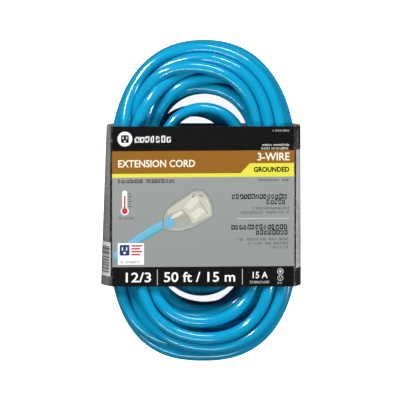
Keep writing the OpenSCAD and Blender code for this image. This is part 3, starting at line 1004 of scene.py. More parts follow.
@dataclass(frozen=True)
class PrintedBands(Finish):
    """Coated board printed with bands across its front: offset ink under a dull varnish.

    It gives the eye wide flat bands with a soft sheen, and a paler line on the folds that is partly scuffed
    ink and partly a painted highlight.
    A band is its lower edge in millimetres along the sleeve, and its ink. The margin beside the folds and
    the top of each side, just below the fold, are charcoal. Below that the left side and the back's left
    half are grey, darker towards −Y, and the right side and the back's right half are pale across the
    middle and charcoal at both ends.
    """

    bands: tuple = ()
    slope: float = 0.0
    fold_mm: float = 78.0
    margin_mm: float = 0.3
    top_mm: float = 72.0
    low_mm: float = -72.0
    high_mm: float = 65.0
    roughness: float = 0.3
    ior: float = 1.42
    grain_mm: float = 0.5
    depth_mm: float = 0.012
    colour_share: float = 0.0

    def pattern(self, tree: bpy.types.NodeTree, shader: bpy.types.Node) -> None:
        """The bands, a slow tone in them, the board's grain, and a paler line on the folds that is partly
        scuffed ink and partly a painted highlight.

        Args:
            tree: The material's node tree.
            shader: Its Principled node.
        """
        self.uneven(tree, shader)
        add = partial(add_node, tree)
        place = add("ShaderNodeTexCoord").outputs["Object"]
        parts = add("ShaderNodeSeparateXYZ", links={"Vector": place})
        level = add("ShaderNodeMath", {"operation": "MULTIPLY_ADD"}, {1: -self.slope},
                    {0: parts.outputs["X"], 2: parts.outputs["Y"]})
        share = add("ShaderNodeMapRange",
                    values={"From Min": self.low_mm * MM, "From Max": self.high_mm * MM},
                    links={"Value": level})
        ramp = add("ShaderNodeValToRGB", links={"Fac": share})
        ramp.color_ramp.interpolation = "CONSTANT"
        stops = ramp.color_ramp.elements
        stops.remove(stops[1])
        for number, (edge, colour) in enumerate(self.bands):
            at = (edge - self.low_mm) / (self.high_mm - self.low_mm)
            stop = stops.new(at) if number else stops[0]
            stop.position, stop.color = at, srgb(colour.value)
        # The bands darken a little towards −Y.
        slow = add("ShaderNodeMapRange",
                   values={"From Min": -55 * MM, "From Max": 22 * MM, "To Min": 0.93, "To Max": 1.0},
                   links={"Value": parts.outputs["Y"]})
        toned = add("ShaderNodeVectorMath", {"operation": "SCALE"}, links={0: ramp, "Scale": slow})
        beside = add("ShaderNodeMath", {"operation": "ABSOLUTE"}, links={0: parts.outputs["X"]})
        printed = add("ShaderNodeMath", {"operation": "LESS_THAN"},
                      {1: (self.fold_mm - self.margin_mm) * MM}, {0: beside})
        front = add("ShaderNodeMath", {"operation": "GREATER_THAN"}, {1: (self.top_mm - 5) * MM},
                    {0: parts.outputs["Z"]})
        on_front = add("ShaderNodeMath", {"operation": "MULTIPLY"}, links={0: printed, 1: front})
        # Left half beside and below the folds: grey, darker towards −Y.
        side = add("ShaderNodeMapRange", values={"From Min": -65 * MM, "From Max": 60 * MM},
                   links={"Value": parts.outputs["Y"]})
        fade = add("ShaderNodeMix", {"data_type": "RGBA"}, {"A": srgb("7b7c7a"), "B": srgb("a4a5a3")},
                   {"Factor": side})
        right = add("ShaderNodeMath", {"operation": "GREATER_THAN"}, {1: 0.0}, {0: parts.outputs["X"]})
        between = add("ShaderNodeMath", {"operation": "COMPARE"}, {1: -6.5 * MM, 2: 50.5 * MM},
                      {0: level})
        right_tone = add("ShaderNodeMix", {"data_type": "RGBA"},
                         {"A": srgb("1f1f1e"), "B": srgb("e8eae9")}, {"Factor": between})
        paler = add("ShaderNodeMix", {"data_type": "RGBA"},
                    links={"Factor": right, "A": fade, "B": right_tone})
        # Charcoal in the top few millimetres below the fold, and on the margin beside it.
        near_fold = add("ShaderNodeMapRange", None,
                        {"From Min": (self.top_mm - 5) * MM, "From Max": (self.top_mm - 3.6) * MM},
                        {"Value": parts.outputs["Z"]})
        edged = add("ShaderNodeMix", {"data_type": "RGBA"}, {"B": srgb("232221")},
                    {"Factor": near_fold, "A": paler})
        whole = add("ShaderNodeMix", {"data_type": "RGBA"},
                    links={"Factor": on_front, "A": edged, "B": toned})
        # A paler line along the front's folds, broken by noise: partly scuffed ink, partly a painted
        # highlight on the fold's edge.
        fold = add("ShaderNodeMapRange", None,
                   {"From Min": (self.fold_mm - 1.0) * MM, "From Max": (self.fold_mm - 0.2) * MM},
                   {"Value": beside})
        at_fold = add("ShaderNodeMath", {"operation": "MULTIPLY"}, links={0: fold, 1: near_fold})
        scuff = add("ShaderNodeTexNoise", values={"Scale": self.per_mm(3), "Detail": 4.0},
                    links={"Vector": place})
        rubbed_and_highlit = add("ShaderNodeMapRange", values={"From Min": 0.52, "From Max": 0.75, "To Max": 0.5},
                     links={"Value": scuff})
        wear_and_highlight = add("ShaderNodeMath", {"operation": "MULTIPLY"}, links={0: at_fold, 1: rubbed_and_highlit})
        worn_and_highlit = add("ShaderNodeMix", {"data_type": "RGBA"}, {"B": srgb("cfccc4")},
                   {"Factor": wear_and_highlight, "A": whole})
        feed(tree, shader, "Base Color", worn_and_highlit)


# ---- Studio ----


@dataclass(frozen=True)
class Studio:
    """White floor, soft lights and a camera that looks almost straight down."""

    distance: float = 3.0
    tilt_deg: float = 3.4
    frame_mm: float = 341.2
    aim_mm: tuple = (-2.8, 2.1, 72)
    sensor_mm: float = 36.0

    def build(self) -> None:
        """Make the camera, the lights, the world and the floor."""
        bpy.context.scene.view_settings.view_transform = "Standard"
        self.camera()
        self.world()
        self.floor()
        self.softbox("key_softbox", (-1.05, 1.05, 1.25), (0.14, 0.9), 28)
        self.softbox("top_softbox", (0.35, 1.7, 1.2), (0.9, 0.2), 21)
        self.softbox("fill_softbox", (1.5, -0.4, 1.0), (0.2, 0.9), 16)
        self.softbox("front_softbox", (-0.35, -1.05, 1.55), (0.9, 0.12), 10)

    def camera(self) -> None:
        """A long lens, tilted a little towards the coil's top end."""
        data = bpy.data.cameras.new("camera")
        data.sensor_width = self.sensor_mm
        data.lens = self.sensor_mm * self.distance / (self.frame_mm * MM)
        data.clip_end = 20
        obj = add_object("camera", data)
        tilt = math.radians(self.tilt_deg)
        back = Vector((0, math.sin(tilt), math.cos(tilt)))
        obj.location = Vector(self.aim_mm) * MM + back * self.distance
        obj.rotation_euler = (-tilt, 0, 0)
        bpy.context.scene.camera = obj

    def world(self) -> None:
        """An even white surround."""
        world = bpy.data.worlds.new("white_surround")
        world.use_nodes = True
        background = world.node_tree.nodes["Background"]
        background.inputs["Color"].default_value = (1, 1, 1, 1)
        background.inputs["Strength"].default_value = 0.06
        bpy.context.scene.world = world

    def softbox(self, name: str, at: tuple, size: tuple, power: float) -> None:
        """A rectangular light that faces the coil.

        Args:
            name: Object name.
            at: Place in metres.
            size: Width and height in metres.
            power: Power in watts.
        """
        data = bpy.data.lights.new(name, "AREA")
        data.shape = "RECTANGLE"
        data.size, data.size_y = size
        data.energy = power
        obj = add_object(name, data)
        obj.location = at
        obj.rotation_euler = (-Vector(at)).to_track_quat("-Z", "Y").to_euler()

    def floor(self) -> None:
        """A white floor, lit from behind like a light table so that it stays white."""
        half = 4.0
        obj = mesh_object("floor", [(-half, -half, 0), (half, -half, 0), (half, half, 0), (-half, half, 0)],
                          [(0, 1, 2, 3)], smooth=False)
        material = bpy.data.materials.new("white_light_table")
        material.use_nodes = True
        shader = material.node_tree.nodes["Principled BSDF"]
        shader.inputs["Base Color"].default_value = srgb("f4f4f4")
        shader.inputs["Roughness"].default_value = 0.9
        shader.inputs["Emission Color"].default_value = (1, 1, 1, 1)
        shader.inputs["Emission Strength"].default_value = 0.93
        obj.data.materials.append(material)
        obj.visible_glossy = False
        obj.visible_diffuse = False


# ---- Cord and ties ----


@dataclass
class Cord:
    """The one length of cord: free stretches at both ends, and the coil between them.

    The coil's strands spread a little past the CAD coil, by spread_w and spread_l.
    """

    diameter: float = 10 * MM
    length: float = 15.24
    ring_step: float = 4.6 * MM
    sides: int = 16
    eye_half_w: float = 40 * MM
    eye_half_l: float = 93 * MM
    spread_w: float = 1.5 * MM
    spread_l: float = 0.8 * MM
    top_power: float = 2.45
    bottom_power: float = 2.75
    joins_x_mm: float = -47.0
    receptacle_at: tuple = (-32.6, 29.8, 51)
    plug_at: tuple = (23.7, 28.2, 21)
    end_tilt_deg: float = 25
    relief_mm: float = 24
    jacket_in_mm: float = 6
    receptacle_route: tuple = (
        (-46.5, -10, 36), (-43.5, -21, 35.5), (-40.2, -33, 35), (-37.6, -45, 34),
        (-34.4, -57, 33), (-28.4, -67.5, 32), (-19, -75.5, 31.5), (-8, -79.4, 31), (4, -79.4, 31),
        (15.5, -75.5, 31.5), (25, -67.5, 32.5), (31, -56.5, 34), (33, -44, 36), (33.4, -29, 39),
        (33.4, -14, 42), (33.4, 1, 44.5), (34, 16, 47), (34.8, 31, 49), (35, 46, 50),
        (33, 58, 50), (27.2, 68.4, 50), (18, 76.2, 50), (6.2, 80.5, 50), (-6.2, 80.5, 50),
        (-18, 76.2, 50), (-27.4, 68.4, 50), (-33.6, 57.5, 50.3), (-36, 46, 50.8),
    )
    plug_route: tuple = (
        (-46.5, 16, 24), (-45.6, 30, 23.6), (-43, 44, 23), (-40.5, 56, 22.6), (-34.5, 66, 22.2),
        (-25.5, 73.3, 22), (-14, 77.5, 21.6), (-2, 77.5, 21.4), (9.5, 73.3, 21.2), (18.8, 65.5, 21),
        (24.8, 55, 21), (27, 43, 21),
    )

    def end_points(self, at: tuple, tilt_deg: float) -> list[tuple[float, float, float]]:
        """Points of the straight stretch inside a strain relief.

        Args:
            at: Where the strain relief starts, in millimetres.
            tilt_deg: Turn of the end about the vertical.

        Returns:
            Three points in millimetres.
        """
        tilt = math.radians(tilt_deg)
        return [
            (at[0] + d * math.sin(tilt), at[1] - d * math.cos(tilt), at[2])
            for d in (0, self.relief_mm / 2, self.relief_mm + self.jacket_in_mm)
        ]

    def centreline(self) -> np.ndarray:
        """The whole cord's centreline.

        Returns:
            Evenly spaced points, from the receptacle to the plug.
        """
        low, high = (np.array(corner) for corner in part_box("cord_coil"))
        outer = Outline(high[0] + self.spread_w, high[1] + self.spread_l, self.top_power, self.bottom_power)
        eye = RoundEnded(self.eye_half_w, self.eye_half_l)
        winding = Winding(self.diameter / 2, outer, eye, (low[2] + high[2]) / 2,
                          (high[2] - low[2] - self.diameter) / 2)
        inside = (self.end_points(self.receptacle_at, self.end_tilt_deg),
                  self.end_points(self.plug_at, -self.end_tilt_deg))
        to_receptacle = smooth_route([*self.receptacle_route, *inside[0]])
        to_plug = smooth_route([*self.plug_route, *inside[1]])
        first = np.array((self.joins_x_mm, 0, self.plug_route[0][2])) * MM
        last = np.array((self.joins_x_mm, 0, self.receptacle_route[0][2])) * MM
        coil = winding.wind(first, last, [to_receptacle, to_plug])
        whole = np.concatenate([to_plug[::-1], coil[1:-1], to_receptacle])[::-1]
        even = even_steps(whole, self.ring_step)
        for _ in range(10):
            even[1:-1] = (even[:-2] + 2 * even[1:-1] + even[2:]) / 4
        return even

    def build(self) -> np.ndarray:
        """Make the cord.

        Returns:
            Points of its centreline.
        """
        self.route = self.centreline()
        self.piece = tube("cord", self.route, self.diameter / 2, self.sides)
        self.piece.data.materials.append(JacketPvc().material())
        settle_piece(self.piece, Body.CORD, ("cord_coil", "receptacle_lead", "plug_lead"))
        return self.route

    def declare(self) -> None:
        run = np.linalg.norm(np.diff(self.route, axis=0), axis=1).sum()
        LOG.info("cord: %.2f m of %.2f m", run, self.length)


# ---- Ties ----


@dataclass
class TwistTie:
    """A plastic-covered wire strip round one side of the coil, with a twisted tail."""

    side: int
    node: str
    cord_r: float
    width: float = 5 * MM
    thickness: float = 0.7 * MM
    ridge: float = 0.25 * MM
    clearance: float = 0.12 * MM
    steps: int = 120

    def strand_places(self, route: np.ndarray, y: float) -> np.ndarray:
        """Where strands on this side of the coil cross a plane across it.

        Args:
            route: The cord's centreline.
            y: Place of the plane.

        Returns:
            Rows of x and z.
        """
        a, b = route[:-1], route[1:]
        cross = (a[:, 1] - y) * (b[:, 1] - y) <= 0
        cross &= np.sign(a[:, 0]) == self.side
        middle = (a[cross] + b[cross]) / 2
        return middle[np.abs(middle[:, 0]) > 38 * MM][:, [0, 2]]

    def build(self, route: np.ndarray) -> None:
        """Make the band and the tail.

        Args:
            route: The cord's centreline.
        """
        low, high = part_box(self.node)
        y = low[1] + self.width / 2
        strands = self.strand_places(route, y)
        angle = np.linspace(0, 2 * np.pi, self.steps, endpoint=False)
        way = np.stack([np.cos(angle), np.sin(angle)], axis=-1)
        reach = self.cord_r + self.clearance + self.thickness / 2
        path = strands[np.argmax(way @ strands.T, axis=1)]
        half, ridge = self.thickness / 2, self.ridge
        edge = self.width / 2
        profile = np.array([
            (-edge, -half * 0.6), (edge, -half * 0.6), (edge, half * 0.6), (edge * 0.3, half * 0.7),
            (0, half + ridge), (-edge * 0.3, half * 0.7), (-edge, half * 0.6),
        ])
        rings = np.stack([
            np.stack([path[:, 0] + way[:, 0] * (reach + out), np.full(self.steps, y + along),
                      path[:, 1] + way[:, 1] * (reach + out)], axis=-1)
            for along, out in profile
        ], axis=1)
        count, sides = rings.shape[:2]
        faces = ring_faces(count, sides, closed=True)
        obj = mesh_object(self.node + "_band", rings.reshape(-1, 3), faces, smooth=False)
        weld(obj, 0.01 * MM)
        obj.data.materials.append(TIE_PLASTIC.material())
        settle_piece(obj, Body.CORD, (self.node,))
        tail = add_object(self.node + "_tail", TWISTED_TAIL.mesh({}, TIE_PLASTIC.material()))
        inner = strands[np.argmin(np.abs(strands[:, 0]) + 0.3 * np.abs(strands[:, 1] - 30 * MM))]
        inside = inner[0] - self.side * (reach + 0.4 * MM)
        tail.data.transform(Matrix.Translation((inside, y - 2 * MM, inner[1])))
        settle_piece(tail, Body.CORD)


# ---- Ends of the cord ----


@dataclass(frozen=True)
class EndPlace:
    """Where an end lies. Its own +Z runs away from the cord, and its own +Y points up."""

    at_mm: tuple
    tilt_deg: float

    def matrix(self) -> Matrix:
        """The end's place.

        Returns:
            The way from the end's own frame, in metres, to the row frame.
        """
        tilt = math.radians(self.tilt_deg)
        across = Vector((math.cos(tilt), math.sin(tilt), 0))
        up = Vector((0, 0, 1))
        ahead = across.cross(up)
        turn = Matrix((across, up, ahead)).transposed().to_4x4()
        return Matrix.Translation(Vector(self.at_mm) * MM) @ turn


@dataclass
class MouldedShell:
    """A moulded shell on a cord's end: a loft along its axis, open at the face for a core.

    Sections are (place along the axis, width, height, corner radius), in millimetres.
    """

    name: str
    node: str
    place: EndPlace
    sections: tuple
    mouth: tuple
    finish: Finish
    slot: str
    ribs_from: float
    rib_x: float
    corner_steps: int = 8

    def ring(self, z: float, width: float, height: float,
             corner: float) -> list[tuple[float, float, float]]:
        """Points round a rounded rectangle, counter-clockwise seen from the face.

        Args:
            z: Place along the axis in millimetres.
            width: Width in millimetres.
            height: Height in millimetres.
            corner: Radius of its corners in millimetres.

        Returns:
            Points in metres, in the end's own frame.
        """
        ring = []
        corner = min(corner, width / 2, height / 2)
        for quarter in range(4):
            cx = (width / 2 - corner) * (1 if quarter in (0, 3) else -1)
            cy = (height / 2 - corner) * (1 if quarter < 2 else -1)
            for step in range(self.corner_steps + 1):
                angle = math.pi / 2 * (quarter + step / self.corner_steps)
                x, y = cx + corner * math.cos(angle), cy + corner * math.sin(angle)
                ring.append((MM * x, MM * y, MM * z))
        return ring

    def build(self) -> None:
        """Make the shell and its finger ribs."""
        rings = [self.ring(*section) for section in (*self.sections, *self.mouth)]
        sides = len(rings[0])
        verts = [point for ring in rings for point in ring]
        faces = ring_faces(len(rings), sides)
        last = (len(rings) - 1) * sides
        faces += [tuple(range(sides - 1, -1, -1)), tuple(last + j for j in range(sides))]
        obj = mesh_object(self.name, verts, faces)
        weld(obj, 0.01 * MM, lambda edge: edge.calc_face_angle(0) < math.radians(50))
        obj.data.transform(self.place.matrix())
        obj.data.materials.append(self.finish.material())
        settle_piece(obj, Body.CORD, (self.node,))
        for side, label in ((-1, "left"), (1, "right")):
            ribs = add_object(f"{self.name}_{label}_ribs", GRIP_RIBS.mesh({}, self.finish.material()))
            on_side = Matrix.Translation((side * self.rib_x * MM, 0, self.ribs_from * MM))
            ribs.data.transform(self.place.matrix() @ on_side)
            ribs.data.polygons.foreach_set("use_smooth", [True] * len(ribs.data.polygons))
            settle_piece(ribs, Body.CORD)


@dataclass
class CordEnds:
    """The plug and the receptacle: new outer shells, and finishes on every piece inside."""

    cord: Cord

    def build(self) -> None:
        """Make both shells, then dress the rest."""
        plug = EndPlace(self.cord.plug_at, -self.cord.end_tilt_deg)
        receptacle = EndPlace(self.cord.receptacle_at, self.cord.end_tilt_deg)
        MouldedShell(
            "plug_moulding", "plug_body", plug,
            sections=(
                (24, 18.4, 16.4, 7.6), (24.5, 19.6, 17.6, 8), (25.6, 20.4, 18.2, 8.2), (29, 22.4, 20, 8.4),
                (33, 25, 22.4, 8.2), (37, 26.7, 23.7, 8), (40, 27, 24, 8), (44, 26.6, 23.6, 8),
                (48, 26.8, 23.8, 8), (50.6, 27, 24, 8), (51.6, 27.5, 24.2, 8), (52.4, 28.6, 24.8, 8),
                (53.2, 29, 25, 8), (58.8, 29, 25, 8), (59.6, 28.5, 24.5, 7.8), (60, 27.4, 23.4, 7.4),
            ),
            mouth=((60, 22.4, 20.4, 4.2), (46.9, 22.4, 20.4, 4.2)),
            finish=SPARK_PVC, slot="blue_plug", ribs_from=39.5, rib_x=13,
        ).build()
        MouldedShell(
            "receptacle_moulding", "receptacle_shell", receptacle,
            sections=(
                (24, 18.4, 16.4, 7.6), (24.5, 19.6, 17.6, 8), (25.6, 20.6, 18.6, 8.4), (29, 24.4, 21.6, 9),
                (33, 28.6, 24.8, 9.4), (36.5, 30.7, 26.7, 9.2), (39, 31, 27, 9), (44, 30.7, 26.8, 9),
                (52, 30.8, 26.9, 9), (57.6, 31, 27, 9), (58.6, 31.5, 27.5, 9), (59.4, 32.6, 28.6, 9),
                (60.2, 33, 29, 9), (66.8, 33, 29, 9), (67.6, 32.5, 28.5, 8.8), (68, 31.4, 27.4, 8.4),
            ),
            mouth=((68, 25.4, 24.4, 5.2), (41.3, 25.4, 24.4, 5.2)),
            finish=CLEAR_PVC, slot="clear_pvc", ribs_from=44, rib_x=15,
        ).build()
        self.dress()

    def dress(self) -> None:
        """Finishes of the CAD nodes that keep their shape."""
        finishes = {
            SPARK_PVC: ("plug_strain_relief",),
            CLEAR_PVC: ("receptacle_strain_relief",),
            NYLON: ("plug_core", "contact_carrier", "carrier_cap"),
            NICKEL: ("line_blade", "neutral_blade", "ground_pin"),
            BRASS: ("plug_crimps", "line_contact", "neutral_contact", "ground_contact"),
            BLACK_WIRE: ("plug_line_wire", "receptacle_line_wire"),
            WHITE_WIRE: ("plug_neutral_wire", "receptacle_neutral_wire"),
            GREEN_WIRE: ("plug_ground_wire", "receptacle_ground_wire"),
            LAMP_GLASS: ("indicator_lamp",),
            RESISTOR: ("lamp_resistor",),
            TINNED: ("lamp_leads",),
        }
        for finish, names in finishes.items():
            for name in names:
                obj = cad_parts[name]
                obj.data.materials.clear()
                obj.data.materials.append(finish.material())
                LOG.info("%s: %s", name, finish.name)


# ---- Sleeve ----


def join_by_grid(rows: int, cols: int, start: int = 0, turned: bool = False) -> list[tuple[int, ...]]:
    """Faces between the points of a grid that is stored row by row.

    Args:
        rows: Points along the first direction.
        cols: Points along the second direction.
        start: Number of the grid's first point.
        turned: Whether the faces point the other way.

    Returns:
        Tuples of four point numbers.
    """
    i, j = np.meshgrid(np.arange(rows - 1), np.arange(cols - 1), indexing="ij")
    corner = start + i * cols + j
    quads = np.stack([corner, corner + cols, corner + cols + 1, corner + 1], axis=-1).reshape(-1, 4)
    return [tuple(q) for q in (quads[:, ::-1] if turned else quads).tolist()]


@dataclass
class Sleeve:
    """Printed card folded round the coil: front, back and two sides that bulge.

    A place on the card is s, the way round from the front's middle line towards +X, and y,
    along the coil. Both are in metres.
    """

    fold_x: float = 78 * MM
    side: float = 74 * MM
    card: float = 0.6 * MM
    fold_round: float = 0.6 * MM
    bulge_left: tuple = (10.4 * MM, 5.4 * MM)
    bulge_right: tuple = (6.4 * MM, 5.8 * MM)
    crown: float = 0.2 * MM
    ripple_mm: float = 0.12
    ripple_rate: float = 95
    seam: float = 15 * MM
    margin: float = 0.3 * MM
    print_slope: float = 0.007

    def __post_init__(self) -> None:
        """Take the size from the frame."""
        low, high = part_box("card_sleeve")
        self.low_y, self.high_y, self.height = low[1], high[1], high[2]
        self.half_round = 2 * self.fold_x + self.side

    def folded(self, s: np.ndarray, y: np.ndarray) -> np.ndarray:
        """Points of the card's outer face with sharp folds.

        Args:
            s: Way round the card.
            y: Place along the coil.

        Returns:
            Rows of x and z.
        """
        way, a = np.sign(s), np.abs(s)
        along = (y - self.low_y) / (self.high_y - self.low_y)
        bulge = np.where(
            s < 0,
            self.bulge_left[0] + (self.bulge_left[1] - self.bulge_left[0]) * along,
            self.bulge_right[0] + (self.bulge_right[1] - self.bulge_right[0]) * along,
        )
        share = np.clip((a - self.fold_x) / self.side, 0, 1)
        flat = np.clip(a, 0, self.fold_x) - np.clip(a - self.fold_x - self.side, 0, None)
        x = way * (flat + bulge * (1 - (2 * share - 1) ** 2))
        ends = (2 * along - 1) ** 4
        ripple = np.sin(s * self.ripple_rate + 1.0) * self.ripple_mm * MM * ends
        ripple += self.crown * (1 - (flat / self.fold_x) ** 2)
        z = self.height * (1 - share) + np.where(a < self.fold_x, ripple, 0)
        return np.stack([x, z], axis=-1)

    def surface(self, s: np.ndarray, y: np.ndarray, lift: float = 0.0) -> np.ndarray:
        """Points on the card.

        Args:
            s: Way round the card.
            y: Place along the coil.
            lift: Height over the outer face, and negative below it.

        Returns:
            Rows of x, y and z.
        """
        s, y = np.broadcast_arrays(np.asarray(s, float), np.asarray(y, float))
        reach = self.fold_round
        before, here, after = (self.folded(s + d, y) for d in (-reach, 0, reach))
        xz = (before + 2 * here + after) / 4
        heading = after - before
        heading /= np.linalg.norm(heading, axis=-1, keepdims=True)
        xz = xz + lift * np.stack([-heading[..., 1], heading[..., 0]], axis=-1)
        return np.stack([xz[..., 0], y, xz[..., 1]], axis=-1)

    def columns(self) -> np.ndarray:
        """Places round the card for the mesh.

        Returns:
            Values of s, closer together at the folds.
        """
        fold = self.fold_x + np.array([-2.0, -1.1, -0.7, -0.35, 0, 0.35, 0.7, 1.1, 2.0]) * MM
        back = self.fold_x + self.side + np.array([-1.5, -0.8, -0.4, 0, 0.4, 0.8, 1.5]) * MM
        half = np.concatenate([
            np.linspace(0, self.fold_x - 3 * MM, 20), fold,
            np.linspace(self.fold_x + 4 * MM, self.fold_x + self.side - 4 * MM, 15), back,
            np.linspace(self.fold_x + self.side + 4 * MM, self.half_round, 12),
        ])
        return np.concatenate([-half[:0:-1], half])

    def shell(self) -> bpy.types.Object:
        """Card as a closed solid: printed face, grey inner face and cut ends.

        Returns:
            The sleeve's shell.
        """
        s, y = np.meshgrid(self.columns(), np.linspace(self.low_y, self.high_y, 31), indexing="ij")
        rows, cols = s.shape
        outer = self.surface(s, y).reshape(-1, 3)
        inner = self.surface(s, y, -self.card).reshape(-1, 3)
        count = len(outer)
        faces = join_by_grid(rows, cols, turned=True)
        printed = len(faces)
        faces += join_by_grid(rows, cols, count)
        for i in range(rows - 1):
            a, b = i * cols, (i + 1) * cols
            faces.append((a, b, b + count, a + count))
            a, b = a + cols - 1, b + cols - 1
            faces.append((b, a, a + count, b + count))
        obj = mesh_object("sleeve_card", np.concatenate([outer, inner]), faces)
        obj.data.materials.append(self.print_finish().material())
        obj.data.materials.append(RAW_CARD.material())
        obj.data.polygons.foreach_set("material_index", [int(k >= printed) for k in range(len(faces))])
        weld(obj, 0.002 * MM, lambda edge: len({face.material_index for face in edge.link_faces}) == 1)
        return obj

    def glue_flap(self) -> bpy.types.Object:
        """The glued overlap on the inside of the back.

        Returns:
            A thin closed strip.
        """
        half, step = self.seam / 2, 0.35 * MM
        across = [(-half, 0), (-half + step, self.card), (half - step, self.card), (half, 0)]
        ends = (self.low_y + 0.4 * MM, self.high_y - 0.4 * MM)
        verts = [(x, y, self.card + z) for y in ends for x, z in across]
        faces = [(0, 1, 2, 3), (7, 6, 5, 4), (0, 4, 5, 1), (1, 5, 6, 2), (2, 6, 7, 3), (3, 7, 4, 0)]
        obj = mesh_object("sleeve_glue_flap", verts, faces, smooth=False)
        obj.data.materials.append(RAW_CARD.material())
        return obj

    def print_finish(self) -> PrintedBands:
        """The finish of the outer face.

        Returns:
            A finish with the bands across the front.
        """
        bands = ((-72, Ink.BLACK), (-55.4, Ink.GREY), (21.3, Ink.YELLOW), (24.4, Ink.BROWN),
                 (43.9, Ink.BLACK))
        return PrintedBands("offset_printed_card", "2a2a29", bands=bands, slope=self.print_slope,
                            fold_mm=self.fold_x / MM, margin_mm=self.margin / MM, top_mm=self.height / MM)

    def build(self) -> None:
        """Make the card, its glue flap and all that is printed on it."""
        settle_piece(self.shell(), Body.SLEEVE, ("card_sleeve",))
        settle_piece(self.glue_flap(), Body.SLEEVE)
        settle_piece(SleevePrint(self).build(), Body.SLEEVE)


# Lower edge of the pictured cable, from the left.
CABLE_EDGE = ((-76.2, -51), (-70, -46.2), (-62, -40.4), (-52, -33.4), (-44, -28.2), (-30, -20.4))
# The picture, from the back to the front: ink, layer, and outline in millimetres.
PICTURE = (
    (Ink.SKY, 0, (*CABLE_EDGE, (-32.6, -13.6), (-46.6, -21.2), (-56, -27), (-65, -33.6), (-76.2, -42.4))),
    (Ink.SKY_SHADE, 1, (*CABLE_EDGE, (-30.4, -19.2), (-44.6, -26.6), (-52.8, -31.8), (-62.8, -38.8),
     (-70.8, -44.6), (-76.2, -49))),
    (Ink.SKY_LIGHT, 1, ((-34.4, -16.6), (-47.2, -23.6), (-57, -30), (-66, -36.6), (-76.2, -44.8),
     (-76.2, -43.8), (-65.6, -35.6), (-56.6, -29), (-46.9, -22.7), (-34.1, -15.8))),
    (Ink.OUTLINE, 0, ((-34.5, -22.3), (-28, -25), (-19, -25.2), (-8, -22), (9.3, -12.2), (8.6, -3),
     (5.2, 5.4), (0.2, 11), (-7.6, 11.2), (-19.6, 3.6), (-31.2, -4.4), (-34.7, -12))),
    (Ink.GLAZE, 1, ((-33.7, -21.6), (-27.9, -24.2), (-19.2, -24.4), (-8.3, -21.2), (8.5, -11.8),
     (7.8, -3.2), (4.5, 4.9), (-0.2, 10.2), (-7.4, 10.4), (-19.1, 2.9), (-30.6, -5), (-33.9, -12.2))),
    (Ink.CLEAR_SHADE, 2, ((-26.6, -13.4), (-20.6, -6.2), (-15.6, -4.2), (-10.6, -10.6), (-9.2, -17.6),
     (-15.4, -13.6), (-21.4, -16))),
    (Ink.CLEAR, 3, ((-31.8, -10.6), (-29.8, -6.2), (-19, 1.6), (-8, 9), (-3.8, 8.6), (-11, -1),
     (-18.2, -5.6), (-24.6, -8.4))),
    (Ink.CLEAR, 3, ((-18.6, -4.6), (-8.2, 8), (-1.2, 8.6), (3.4, 3.6), (6.4, -3.4), (6.8, -10.6),
     (-8.6, -18.4), (-12.4, -11.2))),
    (Ink.CLEAR_LIGHT, 4, ((-28.4, -14), (-25.6, -9.8), (-18.6, -6.6), (-16.6, -8.8), (-21.6, -12.2))),
    (Ink.CLEAR_LIGHT, 4, ((-16.6, -4.4), (-9.6, 4.2), (-5, 4.8), (-3.6, 1), (-10.6, -5.8))),
    (Ink.CLEAR_LIGHT, 4, ((-11.4, -9.8), (-3.6, -4.4), (2, -7), (-6.4, -14.6))),
    (Ink.CLEAR_SHADE, 5, ((-3.4, 0.8), (-2.6, 1.2), (4.2, -9.6), (3.4, -10))),
    (Ink.CLEAR_SHADE, 5, ((-4.8, 7.2), (-1.6, 7.6), (1, 5), (-1.6, 4.2))),
    (Ink.CLEAR_LIGHT, 5, ((1.6, 4.4), (3.1, 2.6), (5.6, -3.6), (4.4, -4))),
    (Ink.GLINT, 3, ((-26, -22.9), (-19.2, -23.2), (-8.6, -20.2), (-9, -19.6), (-19.2, -22.3),
     (-25.8, -22.2))),
    (Ink.SKY, 3, ((-33.2, -19.6), (-28.2, -21.8), (-23.4, -17.4), (-26.6, -11.4), (-32.4, -13.6))),
)


